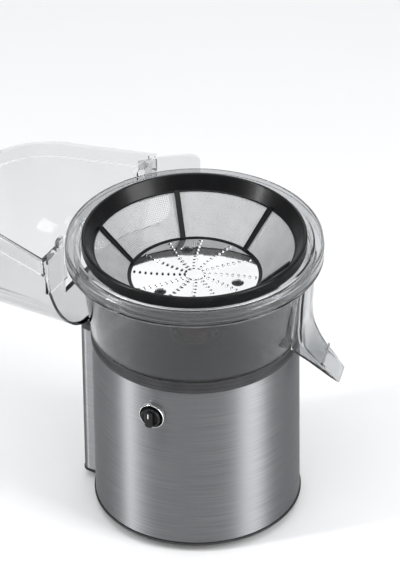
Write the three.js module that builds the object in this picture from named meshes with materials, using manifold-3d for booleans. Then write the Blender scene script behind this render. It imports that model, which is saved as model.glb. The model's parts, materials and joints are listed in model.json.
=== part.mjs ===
// A centrifugal juicer as an assembly of separate solids, in millimetres, +Z up.
// The origin is on the spin axis, on the flat pad under the middle of the base plate. The
// speed knob faces -Y, the pulp container hangs on the -X side and the spout pours towards +X.
import * as THREE from 'three';
import { mergeVertices } from 'three/addons/utils/BufferGeometryUtils.js';
import Module from 'manifold-3d';

const wasm = await Module();
wasm.setup();

// ---------- driving dimensions ----------

const GAP = 0.3; // clearance between pieces that touch
const ROUND = 48; // sides of a large round
const HIDDEN_ROUND = 24; // sides of a large round inside the housing
const SMALL_ROUND = 20; // sides of a small round

const FOOT_BOTTOM_Z = -6;
const BASE_UNDERSIDE_Z = 1;
const RIM_Z = 244; // top of the bowl's rim
const RIM_RADIUS = 104;
const RIM_BAND_HEIGHT = 15;
const WALL = 2.2; // moulded plastic wall

const DRUM_RADIUS = 84;
const DRUM_WALL = 1.5;
const DRUM_BOTTOM_Z = 3;
const DRUM_TOP_Z = RIM_Z - 92;
const DRUM_INNER = DRUM_RADIUS - DRUM_WALL;

const SPINE_REACH = 95; // how far the spine stands from the axis
const SPINE_WIDTH = 55;
const SPINE_TOP_Z = 143;
const SPINE_CAP_HEIGHT = 5;

const BOWL_BOTTOM_Z = RIM_Z - 82;
const BOWL_FLOOR_Z = BOWL_BOTTOM_Z + 2.5;
const BOWL_FOOT_RADIUS = 84.5;
const BOWL_NECK_RADIUS = 93.5; // outside of the wall where the rim band starts
const COLLAR_RADIUS = 11.7; // hole through the bowl's central collar
const COLLAR_TOP_Z = BOWL_FLOOR_Z + 13;
const WINDOW_HALF_WIDTH = 68;
const WINDOW_SILL_Z = RIM_Z - 42;

const SPOUT_TURN = THREE.MathUtils.degToRad(17); // from +X towards +Y
const SPOUT_HOOD_END = 107.5; // where the closed duct becomes an open lip
const SPOUT_REACH = 121;
const SPOUT_DROP = 116; // tip below the rim

const CONTAINER_FRONT = 86.8; // distance of the front wall from the axis
const CONTAINER_BACK = 206;
const CONTAINER_HALF_WIDTH = 87.8;
const CONTAINER_TOP_Z = RIM_Z + 2.5;
const CONTAINER_LIP_HEIGHT = 13.5;
const APRON_BOTTOM_Z = RIM_Z - 30.5; // lower edge of the thick band beside the mouth
const CONTAINER_DEPTH = 94;
const CONTAINER_FRONT_WALL = 4.2;
const CONTAINER_MOUTH_HALF_WIDTH = 57.5;

const BASKET_TOP_Z = RIM_Z + 4.5;
const BASKET_RADIUS = 90.5;
const BASKET_MOUTH_RADIUS = 80; // where the mesh meets the top ring
const BASKET_MOUTH_Z = RIM_Z - 7.3;
const BASKET_BASE_RADIUS = 54.8;
const DISC_RADIUS = 51.4;
const DISC_TOP_Z = RIM_Z - 34;
const DISC_THICKNESS = 1.2;
const RIB_COUNT = 6;
const RIB_WIDTH = 4.4;
const RIB_TURN = THREE.MathUtils.degToRad(70); // first rib, from +X
const SCREW_CIRCLE = 36.5;
const SCREW_POCKET_RADIUS = 4.6;
const SCREW_POCKET_DEPTH = 3.1; // the disc is pressed down round each screw
const SCREW_TURN = THREE.MathUtils.degToRad(10); // first disc screw, from +X

const SPINDLE_RADIUS = 6;
const DOG_RADIUS = 7.5; // corner radius of the hexagonal dog on the spindle
const COUPLING_RADIUS = 16;
const COUPLING_TEETH = 6;

const MOTOR_SHAFT_RADIUS = 4;
const STATOR_RADIUS = 38;
const ROTOR_RADIUS = 24;
const ROTOR_Z = 72;
const ROTOR_HEIGHT = 36;

const KNOB_TURN = THREE.MathUtils.degToRad(5.5); // from -Y towards +X
const KNOB_Z = RIM_Z - 117;
const KNOB_RADIUS = 8.4;
const BEZEL_RADIUS = 10.8;

const FOOT_CIRCLE = 62;
const SCREW_POST_CIRCLE = 70;

// ---------- geometry helpers ----------

// A closed three.js geometry as a manifold solid, with its faces turned outwards.
function toSolid(geometry) {
  const bare = new THREE.BufferGeometry();
  bare.setAttribute('position', geometry.getAttribute('position').clone());
  if (geometry.index) bare.setIndex(geometry.index.clone());
  const merged = mergeVertices(bare, 1e-4);
  const points = merged.getAttribute('position').array;
  const corners = [];
  for (let i = 0; i < merged.index.count; i += 3) {
    const [a, b, c] = merged.index.array.subarray(i, i + 3);
    if (a !== b && b !== c && a !== c) corners.push(a, b, c);
  }
  const made = solidFrom(points, corners);
  return made.volume() < 0 ? solidFrom(points, corners.reverse()) : made;
}

function solidFrom(vertProperties, corners) {
  const triVerts = new Uint32Array(corners);
  return new wasm.Manifold(new wasm.Mesh({ numProp: 3, vertProperties, triVerts }));
}

function toGeometry(solid) {
  const { vertProperties, triVerts } = solid.getMesh();
  const geometry = new THREE.BufferGeometry();
  geometry.setAttribute('position', new THREE.BufferAttribute(vertProperties, 3));
  geometry.setIndex(new THREE.BufferAttribute(triVerts, 1));
  geometry.computeVertexNormals();
  return geometry;
}

function join(...geometries) {
  return toGeometry(geometries.map(toSolid).reduce((whole, next) => whole.add(next)));
}

function cut(geometry, ...tools) {
  return toGeometry(tools.map(toSolid).reduce((left, tool) => left.subtract(tool), toSolid(geometry)));
}

function common(...geometries) {
  return toGeometry(geometries.map(toSolid).reduce((whole, next) => whole.intersect(next)));
}

function asPoints(pairs) {
  return pairs.map(([a, b]) => new THREE.Vector2(a, b));
}

// A solid of revolution about Z, from a closed outline of [radius, height] pairs.
function turned(outline, sides = ROUND) {
  const points = asPoints(outline);
  const startsOnAxis = outline[0][0] === 0 && outline.at(-1)[0] === 0;
  if (!startsOnAxis) points.push(points[0].clone());
  return new THREE.LatheGeometry(points, sides).rotateX(Math.PI / 2);
}

function rod(radius, bottom, top, sides = SMALL_ROUND) {
  return turned([[0, bottom], [radius, bottom], [radius, top], [0, top]], sides);
}

function tube(outer, inner, bottom, top, sides = ROUND) {
  return turned([[inner, bottom], [outer, bottom], [outer, top], [inner, top]], sides);
}

// An outline (pairs or a THREE.Shape) swept along an axis. Along x the outline is [y, z],
// along y it is [x, z] and along z it is [x, y].
function swept(outline, axis, from, to, curveSegments = 4) {
  const shape = outline instanceof THREE.Shape ? outline : new THREE.Shape(asPoints(outline));
  const settings = { depth: to - from, bevelEnabled: false, curveSegments };
  const geometry = new THREE.ExtrudeGeometry(shape, settings);
  if (axis === 'x') {
    const [x, y, z] = [new THREE.Vector3(1, 0, 0), new THREE.Vector3(0, 1, 0), new THREE.Vector3(0, 0, 1)];
    return geometry.applyMatrix4(new THREE.Matrix4().makeBasis(y, z, x)).translate(from, 0, 0);
  }
  if (axis === 'y') return geometry.rotateX(Math.PI / 2).translate(0, to, 0);
  return geometry.translate(0, 0, from);
}

function block(x0, x1, y0, y1, z0, z1) {
  return swept([[x0, y0], [x1, y0], [x1, y1], [x0, y1]], 'z', z0, z1);
}

// A rectangle with rounded corners, centred on (x, y).
function roundedRectangle(x, y, width, height, radius) {
  const [left, right, low, high] = [x - width / 2, x + width / 2, y - height / 2, y + height / 2];
  const shape = new THREE.Shape();
  shape.absarc(right - radius, high - radius, radius, 0, Math.PI / 2);
  shape.absarc(left + radius, high - radius, radius, Math.PI / 2, Math.PI);
  shape.absarc(left + radius, low + radius, radius, Math.PI, 1.5 * Math.PI);
  shape.absarc(right - radius, low + radius, radius, 1.5 * Math.PI, 2 * Math.PI);
  return shape;
}

function around(geometry, angle) {
  return geometry.clone().rotateZ(angle);
}

// Copies of a geometry at equal turns about Z.
function ring(geometry, count, firstAngle = 0) {
  return Array.from({ length: count }, (_, i) => around(geometry, firstAngle + (i * 2 * Math.PI) / count));
}

function finish(color, roughness, metalness = 0) {
  return new THREE.MeshStandardMaterial({ color, roughness, metalness });
}

const steel = () => finish(0x9a9b9d, 0.35, 1);
const brightSteel = () => finish(0xd8d9da, 0.12, 1);
const blackPlastic = () => finish(0x16171a, 0.35);
const smokyPlastic = () => finish(0x5a5c60, 0.08);
const clearPlastic = () => finish(0xe4e6e8, 0.06);
const rubber = () => finish(0x1b1b1c, 0.85);
const copper = () => finish(0xb2683a, 0.4, 1);
const laminatedIron = () => finish(0x5c5e62, 0.55, 1);
const carbon = () => finish(0x242424, 0.7);
const boardGreen = () => finish(0x1f5a3a, 0.6);

const juicer = new THREE.Group();

function add(name, geometry, material, parent = juicer) {
  const mesh = new THREE.Mesh(geometry, material);
  mesh.name = name;
  parent.add(mesh);
  return mesh;
}

// ---------- housing ----------

const knobGroup = new THREE.Group();
knobGroup.rotation.z = KNOB_TURN;
juicer.add(knobGroup);

// A round bar along the knob's axis, from one distance in front of the spin axis to another.
function knobBar(radius, from, to, sides = SMALL_ROUND) {
  return rod(radius, from, to, sides).rotateX(Math.PI / 2).translate(0, 0, KNOB_Z);
}

const GLAND_Z = 22;

// A round bar along +Y, where the mains lead would enter.
function glandBar(radius, from, to) {
  return rod(radius, from, to).rotateX(-Math.PI / 2).translate(0, 0, GLAND_Z);
}

function housingDrum() {
  const wall = tube(DRUM_RADIUS, DRUM_INNER, DRUM_BOTTOM_Z, DRUM_TOP_Z);
  const shaftHole = around(knobBar(5, 70, 95), KNOB_TURN);
  return cut(wall, shaftHole, glandBar(6, 70, 95));
}

// The outline of the spine in plan, shrunk by an inset.
function spineOutline(inset) {
  const depth = 40;
  const centre = -(SPINE_REACH - depth / 2);
  return roundedRectangle(centre, 0, depth - 2 * inset, SPINE_WIDTH - 2 * inset, 8 - inset);
}

function spineCover() {
  const outside = swept(spineOutline(0), 'z', DRUM_BOTTOM_Z, SPINE_TOP_Z);
  const inside = swept(spineOutline(1.5), 'z', DRUM_BOTTOM_Z - 1, SPINE_TOP_Z + 1);
  return cut(outside, inside, rod(DRUM_RADIUS + GAP, 0, SPINE_TOP_Z + 1, ROUND));
}

const PIN_X = -(SPINE_REACH - 5.5);
const PIN_RADIUS = 2;

function spineCap() {
  const [bottom, top] = [SPINE_TOP_Z + GAP, SPINE_TOP_Z + SPINE_CAP_HEIGHT];
  const slab = swept(spineOutline(0), 'z', bottom, top);
  const pinHole = rod(PIN_RADIUS + 0.25, bottom - 1, top + 1).translate(PIN_X, 0, 0);
  return cut(slab, pinHole, rod(DRUM_RADIUS + GAP, 0, top + 1, ROUND));
}

function interlockPin() {
  const flange = SPINE_TOP_Z - 4;
  const profile = [[0, flange - 4], [1.5, flange - 4], [1.5, flange], [3.4, flange], [3.4, flange + 2]];
  profile.push([PIN_RADIUS, flange + 2], [PIN_RADIUS, SPINE_TOP_Z + SPINE_CAP_HEIGHT + 1], [0, SPINE_TOP_Z + 6]);
  return turned(profile, 12).translate(PIN_X, 0, 0);
}

function topDeck() {
  const top = DRUM_TOP_Z - 2;
  const deck = tube(DRUM_INNER - GAP, 20, top - 3, top, HIDDEN_ROUND);
  const skirt = tube(DRUM_INNER - GAP, DRUM_INNER - 2.3, top - 14, top - 1, HIDDEN_ROUND);
  const collar = tube(22, 20, top - 1, top + 5, HIDDEN_ROUND);
  return join(deck, skirt, collar);
}

function trimRing() {
  const [low, high] = [DRUM_TOP_Z + GAP, BOWL_BOTTOM_Z - GAP];
  const outline = [[DRUM_RADIUS - 6, low], [DRUM_RADIUS + 0.8, low], [DRUM_RADIUS + 0.8, low + 3]];
  outline.push([DRUM_RADIUS - 0.6, low + 4.5], [DRUM_RADIUS - 0.6, high], [DRUM_RADIUS - 6, high]);
  return turned(outline);
}

function basePlate() {
  const top = DRUM_BOTTOM_Z - GAP;
  const floor = rod(DRUM_RADIUS + 1, BASE_UNDERSIDE_Z, top, ROUND);
  const pad = rod(26, 0, top, HIDDEN_ROUND);
  const spineFloor = swept(spineOutline(-0.5), 'z', BASE_UNDERSIDE_Z, top);
  const lip = tube(DRUM_INNER - GAP, DRUM_INNER - 2.5, BASE_UNDERSIDE_Z, 9, HIDDEN_ROUND);
  const slot = swept(roundedRectangle(0, 40, 19, 5, 2.4), 'z', -1, 12);
  const slots = ring(slot, 8, Math.PI / 8);
  const holes = ring(rod(2.3, -1, 12).translate(SCREW_POST_CIRCLE, 0, 0), 4, Math.PI / 4);
  return cut(join(floor, pad, spineFloor, lip), ...slots, ...holes);
}

function chassisRing() {
  const wall = tube(DRUM_INNER - GAP, DRUM_INNER - 2.5, 9.3, 34, HIDDEN_ROUND);
  const post = rod(5.5, DRUM_BOTTOM_Z, 26).translate(SCREW_POST_CIRCLE, 0, 0);
  const web = block(SCREW_POST_CIRCLE + 4, DRUM_INNER - 1.4, -1.2, 1.2, 9.3, 26);
  const posts = ring(join(post, web), 4, Math.PI / 4);
  const bores = ring(rod(1.9, 0, 20).translate(SCREW_POST_CIRCLE, 0, 0), 4, Math.PI / 4);
  return cut(join(wall, ...posts), ...bores, glandBar(9, 60, 95));
}

function baseScrew() {
  const seat = BASE_UNDERSIDE_Z - GAP;
  return turned([[0, seat - 2], [3.6, seat - 2], [3.6, seat], [1.6, seat], [1.6, 17], [0, 18.5]], 12);
}

function foot() {
  const top = BASE_UNDERSIDE_Z - GAP;
  return turned([[0, FOOT_BOTTOM_Z], [8, FOOT_BOTTOM_Z], [9.5, FOOT_BOTTOM_Z + 1.5], [10.5, top], [0, top]], 24);
}

function addHousing() {
  add('housing_drum', housingDrum(), steel());
  add('side_spine', spineCover(), steel());
  add('spine_cap', spineCap(), blackPlastic());
  add('interlock_pin', interlockPin(), blackPlastic());
  const microswitch = block(PIN_X - 3, PIN_X + 3.5, -9, 9, SPINE_TOP_Z - 24, SPINE_TOP_Z - 11.4);
  add('interlock_switch', microswitch, blackPlastic());
  add('top_deck', topDeck(), blackPlastic());
  add('trim_ring', trimRing(), blackPlastic());
  add('base_plate', basePlate(), blackPlastic());
  add('chassis_ring', chassisRing(), blackPlastic());
  for (let i = 0; i < 4; i += 1) {
    const angle = Math.PI / 4 + (i * Math.PI) / 2;
    const screw = add(`base_screw_${i + 1}`, baseScrew(), steel());
    screw.position.set(SCREW_POST_CIRCLE * Math.cos(angle), SCREW_POST_CIRCLE * Math.sin(angle), 0);
    const pad = add(`foot_${i + 1}`, foot(), rubber());
    pad.position.set(FOOT_CIRCLE * Math.cos(i * Math.PI / 2), FOOT_CIRCLE * Math.sin(i * Math.PI / 2), 0);
  }
  add('cord_gland', join(glandBar(5.7, 74, 88), glandBar(8.5, DRUM_RADIUS + GAP, 88)), rubber());
}

// ---------- speed control ----------

function knobBezel() {
  const ringShape = knobBar(BEZEL_RADIUS, 80, DRUM_RADIUS + 4, 32);
  return cut(ringShape, knobBar(KNOB_RADIUS + 0.6, 70, 100, 32), rod(DRUM_RADIUS + 0.5, 0, RIM_Z, ROUND));
}

function speedKnob() {
  const skirt = knobBar(KNOB_RADIUS, DRUM_RADIUS + 1.2, DRUM_RADIUS + 7, 32);
  const grip = swept(roundedRectangle(0, KNOB_Z, 7, 15, 2.6), 'y', -(DRUM_RADIUS + 10), -(DRUM_RADIUS + 6));
  return cut(join(skirt, grip), knobBar(3 + 0.1, 80, DRUM_RADIUS + 8.3));
}

function addSpeedControl() {
  add('knob_bezel', knobBezel(), brightSteel(), knobGroup);
  add('speed_knob', speedKnob(), blackPlastic(), knobGroup);
  add('switch_shaft', knobBar(3, 76.6, DRUM_RADIUS + 8), brightSteel(), knobGroup);
  const body = block(-13, 13, -76, -58, KNOB_Z - 13, KNOB_Z + 10);
  const bushing = knobBar(4.4, 75, 81.5);
  add('rotary_switch', cut(join(body, bushing), knobBar(3.3, 76.3, 90)), blackPlastic(), knobGroup);
}

// ---------- motor ----------

// Raised dogs of a coupling half, between two heights, at equal turns.
function couplingDogs(bottom, top, firstAngle) {
  const half = THREE.MathUtils.degToRad(12);
  const shape = new THREE.Shape();
  shape.absarc(0, 0, COUPLING_RADIUS, -half, half);
  shape.absarc(0, 0, 8, half, -half, true);
  return ring(swept(shape, 'z', bottom, top), COUPLING_TEETH, firstAngle);
}

const COUPLING_LOW_Z = DRUM_TOP_Z - 5;
const DOG_LOW_Z = DRUM_TOP_Z + 1;
const DOG_HIGH_Z = DRUM_TOP_Z + 5.5;

function driveCoupling() {
  const plate = rod(COUPLING_RADIUS, COUPLING_LOW_Z, DOG_LOW_Z, 24);
  const shaftHole = rod(MOTOR_SHAFT_RADIUS + 0.1, 0, DOG_LOW_Z - 2);
  return cut(join(plate, ...couplingDogs(DOG_LOW_Z - 1, DOG_HIGH_Z, 0)), shaftHole);
}

function coolingFan() {
  const bottom = ROTOR_Z + ROTOR_HEIGHT + 12;
  const hub = tube(10, MOTOR_SHAFT_RADIUS + 0.1, bottom, bottom + 10, 24);
  const disc = tube(33, 9, bottom, bottom + 1.6, 24);
  const blade = block(9.5, 33, -0.8, 0.8, bottom + 1, bottom + 9).rotateZ(0.2);
  return join(hub, disc, ...ring(blade, 9));
}

function rotorCore() {
  const core = tube(ROTOR_RADIUS, MOTOR_SHAFT_RADIUS + 0.1, ROTOR_Z, ROTOR_Z + ROTOR_HEIGHT);
  const slot = block(ROTOR_RADIUS - 4, ROTOR_RADIUS + 1, -0.9, 0.9, ROTOR_Z - 1, ROTOR_Z + ROTOR_HEIGHT + 1);
  return cut(core, ...ring(slot, 12));
}

function bracket(bottom, radius) {
  const plate = rod(radius, bottom, bottom + 4, 24);
  const seat = rod(12, bottom, bottom + 8.5, 24);
  const window = swept(roundedRectangle(24, 0, 14, 22, 4), 'z', bottom - 1, bottom + 10);
  return cut(join(plate, seat), rod(9, bottom + 1.5, bottom + 10), rod(5, bottom - 1, bottom + 9), ...ring(window, 4));
}

function brushHolder() {
  const tubeWall = block(15, 30, -5.5, 5.5, 51, 64);
  return cut(tubeWall, block(14, 28, -3.6, 3.6, 53, 62));
}

const LOWER_BRACKET_Z = 38;
const UPPER_BRACKET_Z = 131;

function addMotor() {
  add('motor_shaft', rod(MOTOR_SHAFT_RADIUS, LOWER_BRACKET_Z + 2, DOG_LOW_Z - 2.3), brightSteel());
  add('drive_coupling', driveCoupling(), blackPlastic());
  add('rotor_core', rotorCore(), laminatedIron());
  add('commutator', tube(11, MOTOR_SHAFT_RADIUS + 0.1, 51, 65, 24), copper());
  add('cooling_fan', coolingFan(), blackPlastic());
  const stator = cut(
    tube(STATOR_RADIUS, ROTOR_RADIUS + 1, ROTOR_Z, ROTOR_Z + ROTOR_HEIGHT),
    block(STATOR_RADIUS - 4, 50, -50, 50, 0, 200),
    block(-50, 4 - STATOR_RADIUS, -50, 50, 0, 200),
  );
  add('stator_core', stator, laminatedIron());
  const windingTop = ROTOR_Z + ROTOR_HEIGHT;
  add('field_winding_upper', tube(33.5, 26.5, windingTop + GAP, windingTop + 9, 24), copper());
  add('field_winding_lower', tube(33.5, 26.5, ROTOR_Z - 7, ROTOR_Z - GAP, 24), copper());
  add('lower_bracket', bracket(LOWER_BRACKET_Z, 46), steel());
  add('upper_bracket', bracket(UPPER_BRACKET_Z, 50), steel());
  for (const [name, low] of [['lower_bearing', LOWER_BRACKET_Z + 1.8], ['upper_bearing', UPPER_BRACKET_Z + 1.8]]) {
    add(name, tube(8.7, MOTOR_SHAFT_RADIUS + 0.15, low, low + 6, SMALL_ROUND), brightSteel());
  }
  for (let i = 0; i < 2; i += 1) {
    const holder = add(`brush_holder_${i + 1}`, brushHolder(), copper());
    const brush = add(`carbon_brush_${i + 1}`, block(11.4, 24, -3.2, 3.2, 53.4, 61.6), carbon());
    holder.rotation.z = i * Math.PI;
    brush.rotation.z = i * Math.PI;
  }
  for (let i = 0; i < 3; i += 1) {
    const angle = Math.PI / 2 + (i * 2 * Math.PI) / 3;
    const mount = turned([[0, 3], [6, 3], [6, 14], [4.5, 20], [6, 26], [6, 37.7], [0, 37.7]], 16);
    const placed = add(`motor_mount_${i + 1}`, mount, rubber());
    placed.position.set(40 * Math.cos(angle), 40 * Math.sin(angle), 0);
  }
  add('control_board', block(50, 51.6, -24, 24, 40, 84), boardGreen());
  add('suppression_capacitor', block(52, 62, -12, 12, 52, 72), finish(0xb9a23a, 0.5));
}

// ---------- juice bowl ----------

// The bowl's wall from its foot to its rim gutter, as a closed outline.
function bowlOutline() {
  const bandBottom = RIM_Z - RIM_BAND_HEIGHT;
  return [
    [COLLAR_RADIUS, BOWL_BOTTOM_Z],
    [BOWL_FOOT_RADIUS, BOWL_BOTTOM_Z],
    [BOWL_NECK_RADIUS, bandBottom - 1],
    [RIM_RADIUS - 1, bandBottom],
    [RIM_RADIUS, bandBottom + 1],
    [RIM_RADIUS, RIM_Z],
    [RIM_RADIUS - WALL, RIM_Z],
    [RIM_RADIUS - WALL, RIM_Z - 11],
    [96.8, RIM_Z - 11],
    [96.8, RIM_Z - 2],
    [94.8, RIM_Z - 2],
    [BOWL_NECK_RADIUS - WALL, bandBottom - 1],
    [BOWL_FOOT_RADIUS - WALL, BOWL_FLOOR_Z],
    [COLLAR_RADIUS + WALL, BOWL_FLOOR_Z],
    [COLLAR_RADIUS + WALL, COLLAR_TOP_Z],
    [COLLAR_RADIUS, COLLAR_TOP_Z],
  ];
}

function juiceBowl() {
  const windowTop = RIM_Z - RIM_BAND_HEIGHT - 1.5;
  const windowHeight = 2 * (windowTop - WINDOW_SILL_Z);
  const tall = roundedRectangle(0, WINDOW_SILL_Z + windowHeight / 2, 2 * WINDOW_HALF_WIDTH, windowHeight, 14);
  const window = common(swept(tall, 'x', -110, -40), block(-120, 0, -90, 90, 0, windowTop));
  const outlet = swept(roundedRectangle(0, BOWL_FLOOR_Z + 12, 26, 24, 4), 'x', 70, 110);
  return cut(turned(bowlOutline()), window, around(outlet, SPOUT_TURN));
}

// The bowl's outside grown by a clearance, to cut its neighbours with.
function bowlSpace(clearance) {
  const bandBottom = RIM_Z - RIM_BAND_HEIGHT - clearance;
  return turned([
    [0, BOWL_BOTTOM_Z - 4],
    [BOWL_FOOT_RADIUS + clearance - 0.5, BOWL_BOTTOM_Z - 4],
    [BOWL_NECK_RADIUS + clearance, bandBottom - 1],
    [RIM_RADIUS + clearance, bandBottom],
    [RIM_RADIUS + clearance, RIM_Z + 20],
    [0, RIM_Z + 20],
  ]);
}

// The line down the spout's hood from the rim band to the tip, as [distance, height].
function hoodLine(back, down) {
  const upper = [[96.6, 17], [95, 37], [94.2, 53], [93.6, 64], [95, 77], [100.2, 87.5]];
  const below = [...upper, [SPOUT_HOOD_END, 98], [112.7, 103.8], [117.2, 109.4], [SPOUT_REACH, SPOUT_DROP]];
  const line = new THREE.SplineCurve(asPoints(below.map(([out, drop]) => [out - back, RIM_Z - drop - down])));
  return line.getPoints(22).map((point) => [point.x, point.y]);
}

// The spout's front outline, half as wide at the tip as under the rim.
function spoutOutline(inset) {
  const upper = [[23.4, 16.5], [23.6, 60], [22.2, 71], [19.6, 82], [17.9, 87.5]];
  const half = [...upper, [15.6, 96], [14.4, 104], [13.8, 111], [12.6, 118]];
  const right = half.map(([width, drop]) => [width - inset, RIM_Z - drop]);
  const left = right.map(([width, height]) => [-width, height]).reverse();
  return [...right, ...left];
}

// The spout's underside slopes from the bowl's foot down to the tip.
function undersideZ(out) {
  const slope = (SPOUT_DROP - 82.4) / (SPOUT_REACH - 80.7);
  return RIM_Z - 82.4 - slope * (out - 80.7);
}

function juiceSpout() {
  const underside = [[80.7, undersideZ(80.7)], [76, undersideZ(80.7)], [76, RIM_Z - 17]];
  const outer = common(
    swept([...hoodLine(0, 0), ...underside], 'y', -30, 30),
    swept(spoutOutline(0), 'x', 60, 130),
  );
  const ductEnd = SPOUT_HOOD_END + 1;
  const ductRoof = hoodLine(2.2, 1.6).filter(([out]) => out < ductEnd);
  const ductFloor = [[ductEnd, undersideZ(ductEnd) + WALL], [80.7, undersideZ(80.7) + WALL], [70, RIM_Z - 80.2]];
  const duct = swept([...ductRoof, ...ductFloor, [70, RIM_Z - 19]], 'y', -30, 30);
  const lipEnd = SPOUT_REACH + 4;
  const lipFloor = [[lipEnd, undersideZ(lipEnd) + WALL], [SPOUT_HOOD_END, undersideZ(SPOUT_HOOD_END) + WALL]];
  const lip = swept([...lipFloor, [SPOUT_HOOD_END, RIM_Z - 60], [lipEnd, RIM_Z - 60]], 'y', -30, 30);
  const inside = swept(spoutOutline(2), 'x', 60, 130);
  const belowRoof = block(0, 200, -60, 60, 0, RIM_Z - 19);
  return cut(outer, common(duct, inside, belowRoof), common(lip, inside), bowlSpace(0.5));
}

function bowlBush() {
  return tube(COLLAR_RADIUS - 0.2, SPINDLE_RADIUS + 0.2, BOWL_BOTTOM_Z + GAP, COLLAR_TOP_Z - 1, SMALL_ROUND);
}

const DOG_TOP_Z = COLLAR_TOP_Z + 17;

function driveSpindle() {
  const shaft = rod(SPINDLE_RADIUS, DOG_HIGH_Z + 0.9, COLLAR_TOP_Z + 1);
  const dog = rod(DOG_RADIUS, COLLAR_TOP_Z, DOG_TOP_Z, 6);
  return join(shaft, dog);
}

function drivenCoupling() {
  const plate = rod(COUPLING_RADIUS, DOG_HIGH_Z + 0.6, BOWL_BOTTOM_Z - 0.6, 24);
  const dogs = couplingDogs(DOG_LOW_Z + 0.6, DOG_HIGH_Z + 1, Math.PI / COUPLING_TEETH);
  return cut(join(plate, ...dogs), rod(SPINDLE_RADIUS + 0.1, DOG_HIGH_Z + 0.8, BOWL_BOTTOM_Z));
}

function addJuiceBowl() {
  add('juice_bowl', juiceBowl(), smokyPlastic());
  const spoutGroup = new THREE.Group();
  spoutGroup.rotation.z = SPOUT_TURN;
  juicer.add(spoutGroup);
  add('juice_spout', juiceSpout(), smokyPlastic(), spoutGroup);
  add('bowl_bush', bowlBush(), copper());
  add('drive_spindle', driveSpindle(), brightSteel());
  add('driven_coupling', drivenCoupling(), blackPlastic());
}

// ---------- filter basket ----------

const BASKET_FLOOR_TOP_Z = DISC_TOP_Z - DISC_THICKNESS - GAP;

// A point on the mesh cone: 0 at the base ring, 1 at the top ring.
function conePoint(share, outward) {
  const radius = THREE.MathUtils.lerp(BASKET_BASE_RADIUS - 0.8, BASKET_MOUTH_RADIUS + 0.6, share);
  const height = THREE.MathUtils.lerp(DISC_TOP_Z + GAP, BASKET_MOUTH_Z - 0.6, share);
  return [radius + outward, height];
}

function filterMesh() {
  return turned([conePoint(0, 0), conePoint(0, 0.9), conePoint(1, 0.9), conePoint(1, 0)]);
}

function basketTopRing() {
  const skirtZ = RIM_Z - 5.5;
  const outside = [[BASKET_RADIUS, skirtZ], [BASKET_RADIUS, BASKET_TOP_Z - 1], [BASKET_RADIUS - 1, BASKET_TOP_Z]];
  const slope = [[BASKET_RADIUS - 2.5, BASKET_TOP_Z], [BASKET_MOUTH_RADIUS, BASKET_MOUTH_Z]];
  return turned([...outside, ...slope, [BASKET_MOUTH_RADIUS + 2.4, BASKET_MOUTH_Z], [BASKET_RADIUS - 3, skirtZ]]);
}

function basketFrame() {
  const bottom = BASKET_FLOOR_TOP_Z - 4;
  const floor = tube(BASKET_BASE_RADIUS, 8, bottom, BASKET_FLOOR_TOP_Z);
  const baseRing = tube(BASKET_BASE_RADIUS, DISC_RADIUS + GAP, bottom, DISC_TOP_Z);
  const [lowRadius, lowZ] = conePoint(0, -0.3);
  const [highRadius, highZ] = conePoint(1, -0.3);
  const outerEdge = [[lowRadius, lowZ - 2], [lowRadius, lowZ], [highRadius, highZ], [highRadius, highZ + 3]];
  const outline = [...outerEdge, [highRadius - 1.8, highZ + 2], [lowRadius - 1.8, lowZ], [lowRadius - 1.8, lowZ - 2]];
  const rib = swept(outline, 'y', -RIB_WIDTH / 2, RIB_WIDTH / 2);
  const body = join(floor, baseRing, basketTopRing(), ...ring(rib, RIB_COUNT, RIB_TURN));
  const screwHole = rod(1.9, bottom - 1, bottom + 6);
  const sink = rod(SCREW_POCKET_RADIUS + 0.8 + GAP, DISC_TOP_Z - SCREW_POCKET_DEPTH - 1 - GAP, DISC_TOP_Z);
  return cut(body, ...ring(join(screwHole, sink).translate(SCREW_CIRCLE, 0, 0), 3, SCREW_TURN));
}

function gratingDisc() {
  const plate = rod(DISC_RADIUS, DISC_TOP_Z - DISC_THICKNESS, DISC_TOP_Z, ROUND);
  const pocketFloorZ = DISC_TOP_Z - SCREW_POCKET_DEPTH;
  const cup = rod(SCREW_POCKET_RADIUS + 0.8, pocketFloorZ - 1, DISC_TOP_Z - 0.1).translate(SCREW_CIRCLE, 0, 0);
  const pocket = join(rod(SCREW_POCKET_RADIUS, pocketFloorZ, RIM_Z), rod(1.9, 0, RIM_Z));
  const pockets = ring(pocket.translate(SCREW_CIRCLE, 0, 0), 3, SCREW_TURN);
  return cut(join(plate, ...ring(cup, 3, SCREW_TURN)), ...pockets);
}

function basketHub() {
  const top = BASKET_FLOOR_TOP_Z - 4 - GAP;
  const body = turned([[0, COLLAR_TOP_Z + 1.5], [13, COLLAR_TOP_Z + 1.5], [15, top - 5], [24, top], [0, top]], 24);
  const socket = rod(DOG_RADIUS + 0.35, COLLAR_TOP_Z, DOG_TOP_Z + 0.6, 6);
  return cut(body, socket);
}

function discScrew() {
  const seat = DISC_TOP_Z - SCREW_POCKET_DEPTH + GAP;
  const shaft = [[0, seat - 2.5], [1.6, seat - 2.5], [1.6, seat]];
  return turned([...shaft, [4.1, seat], [4, seat + 0.9], [0, seat + 1.2]], 16);
}

function addBasket() {
  add('basket_frame', basketFrame(), blackPlastic());
  add('filter_mesh', filterMesh(), brightSteel());
  add('grating_disc', gratingDisc(), brightSteel());
  add('basket_hub', basketHub(), blackPlastic());
  for (let i = 0; i < 3; i += 1) {
    const angle = SCREW_TURN + (i * 2 * Math.PI) / 3;
    const screw = add(`disc_screw_${i + 1}`, discScrew(), blackPlastic());
    screw.position.set(SCREW_CIRCLE * Math.cos(angle), SCREW_CIRCLE * Math.sin(angle), 0);
  }
}

// ---------- pulp container ----------

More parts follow.
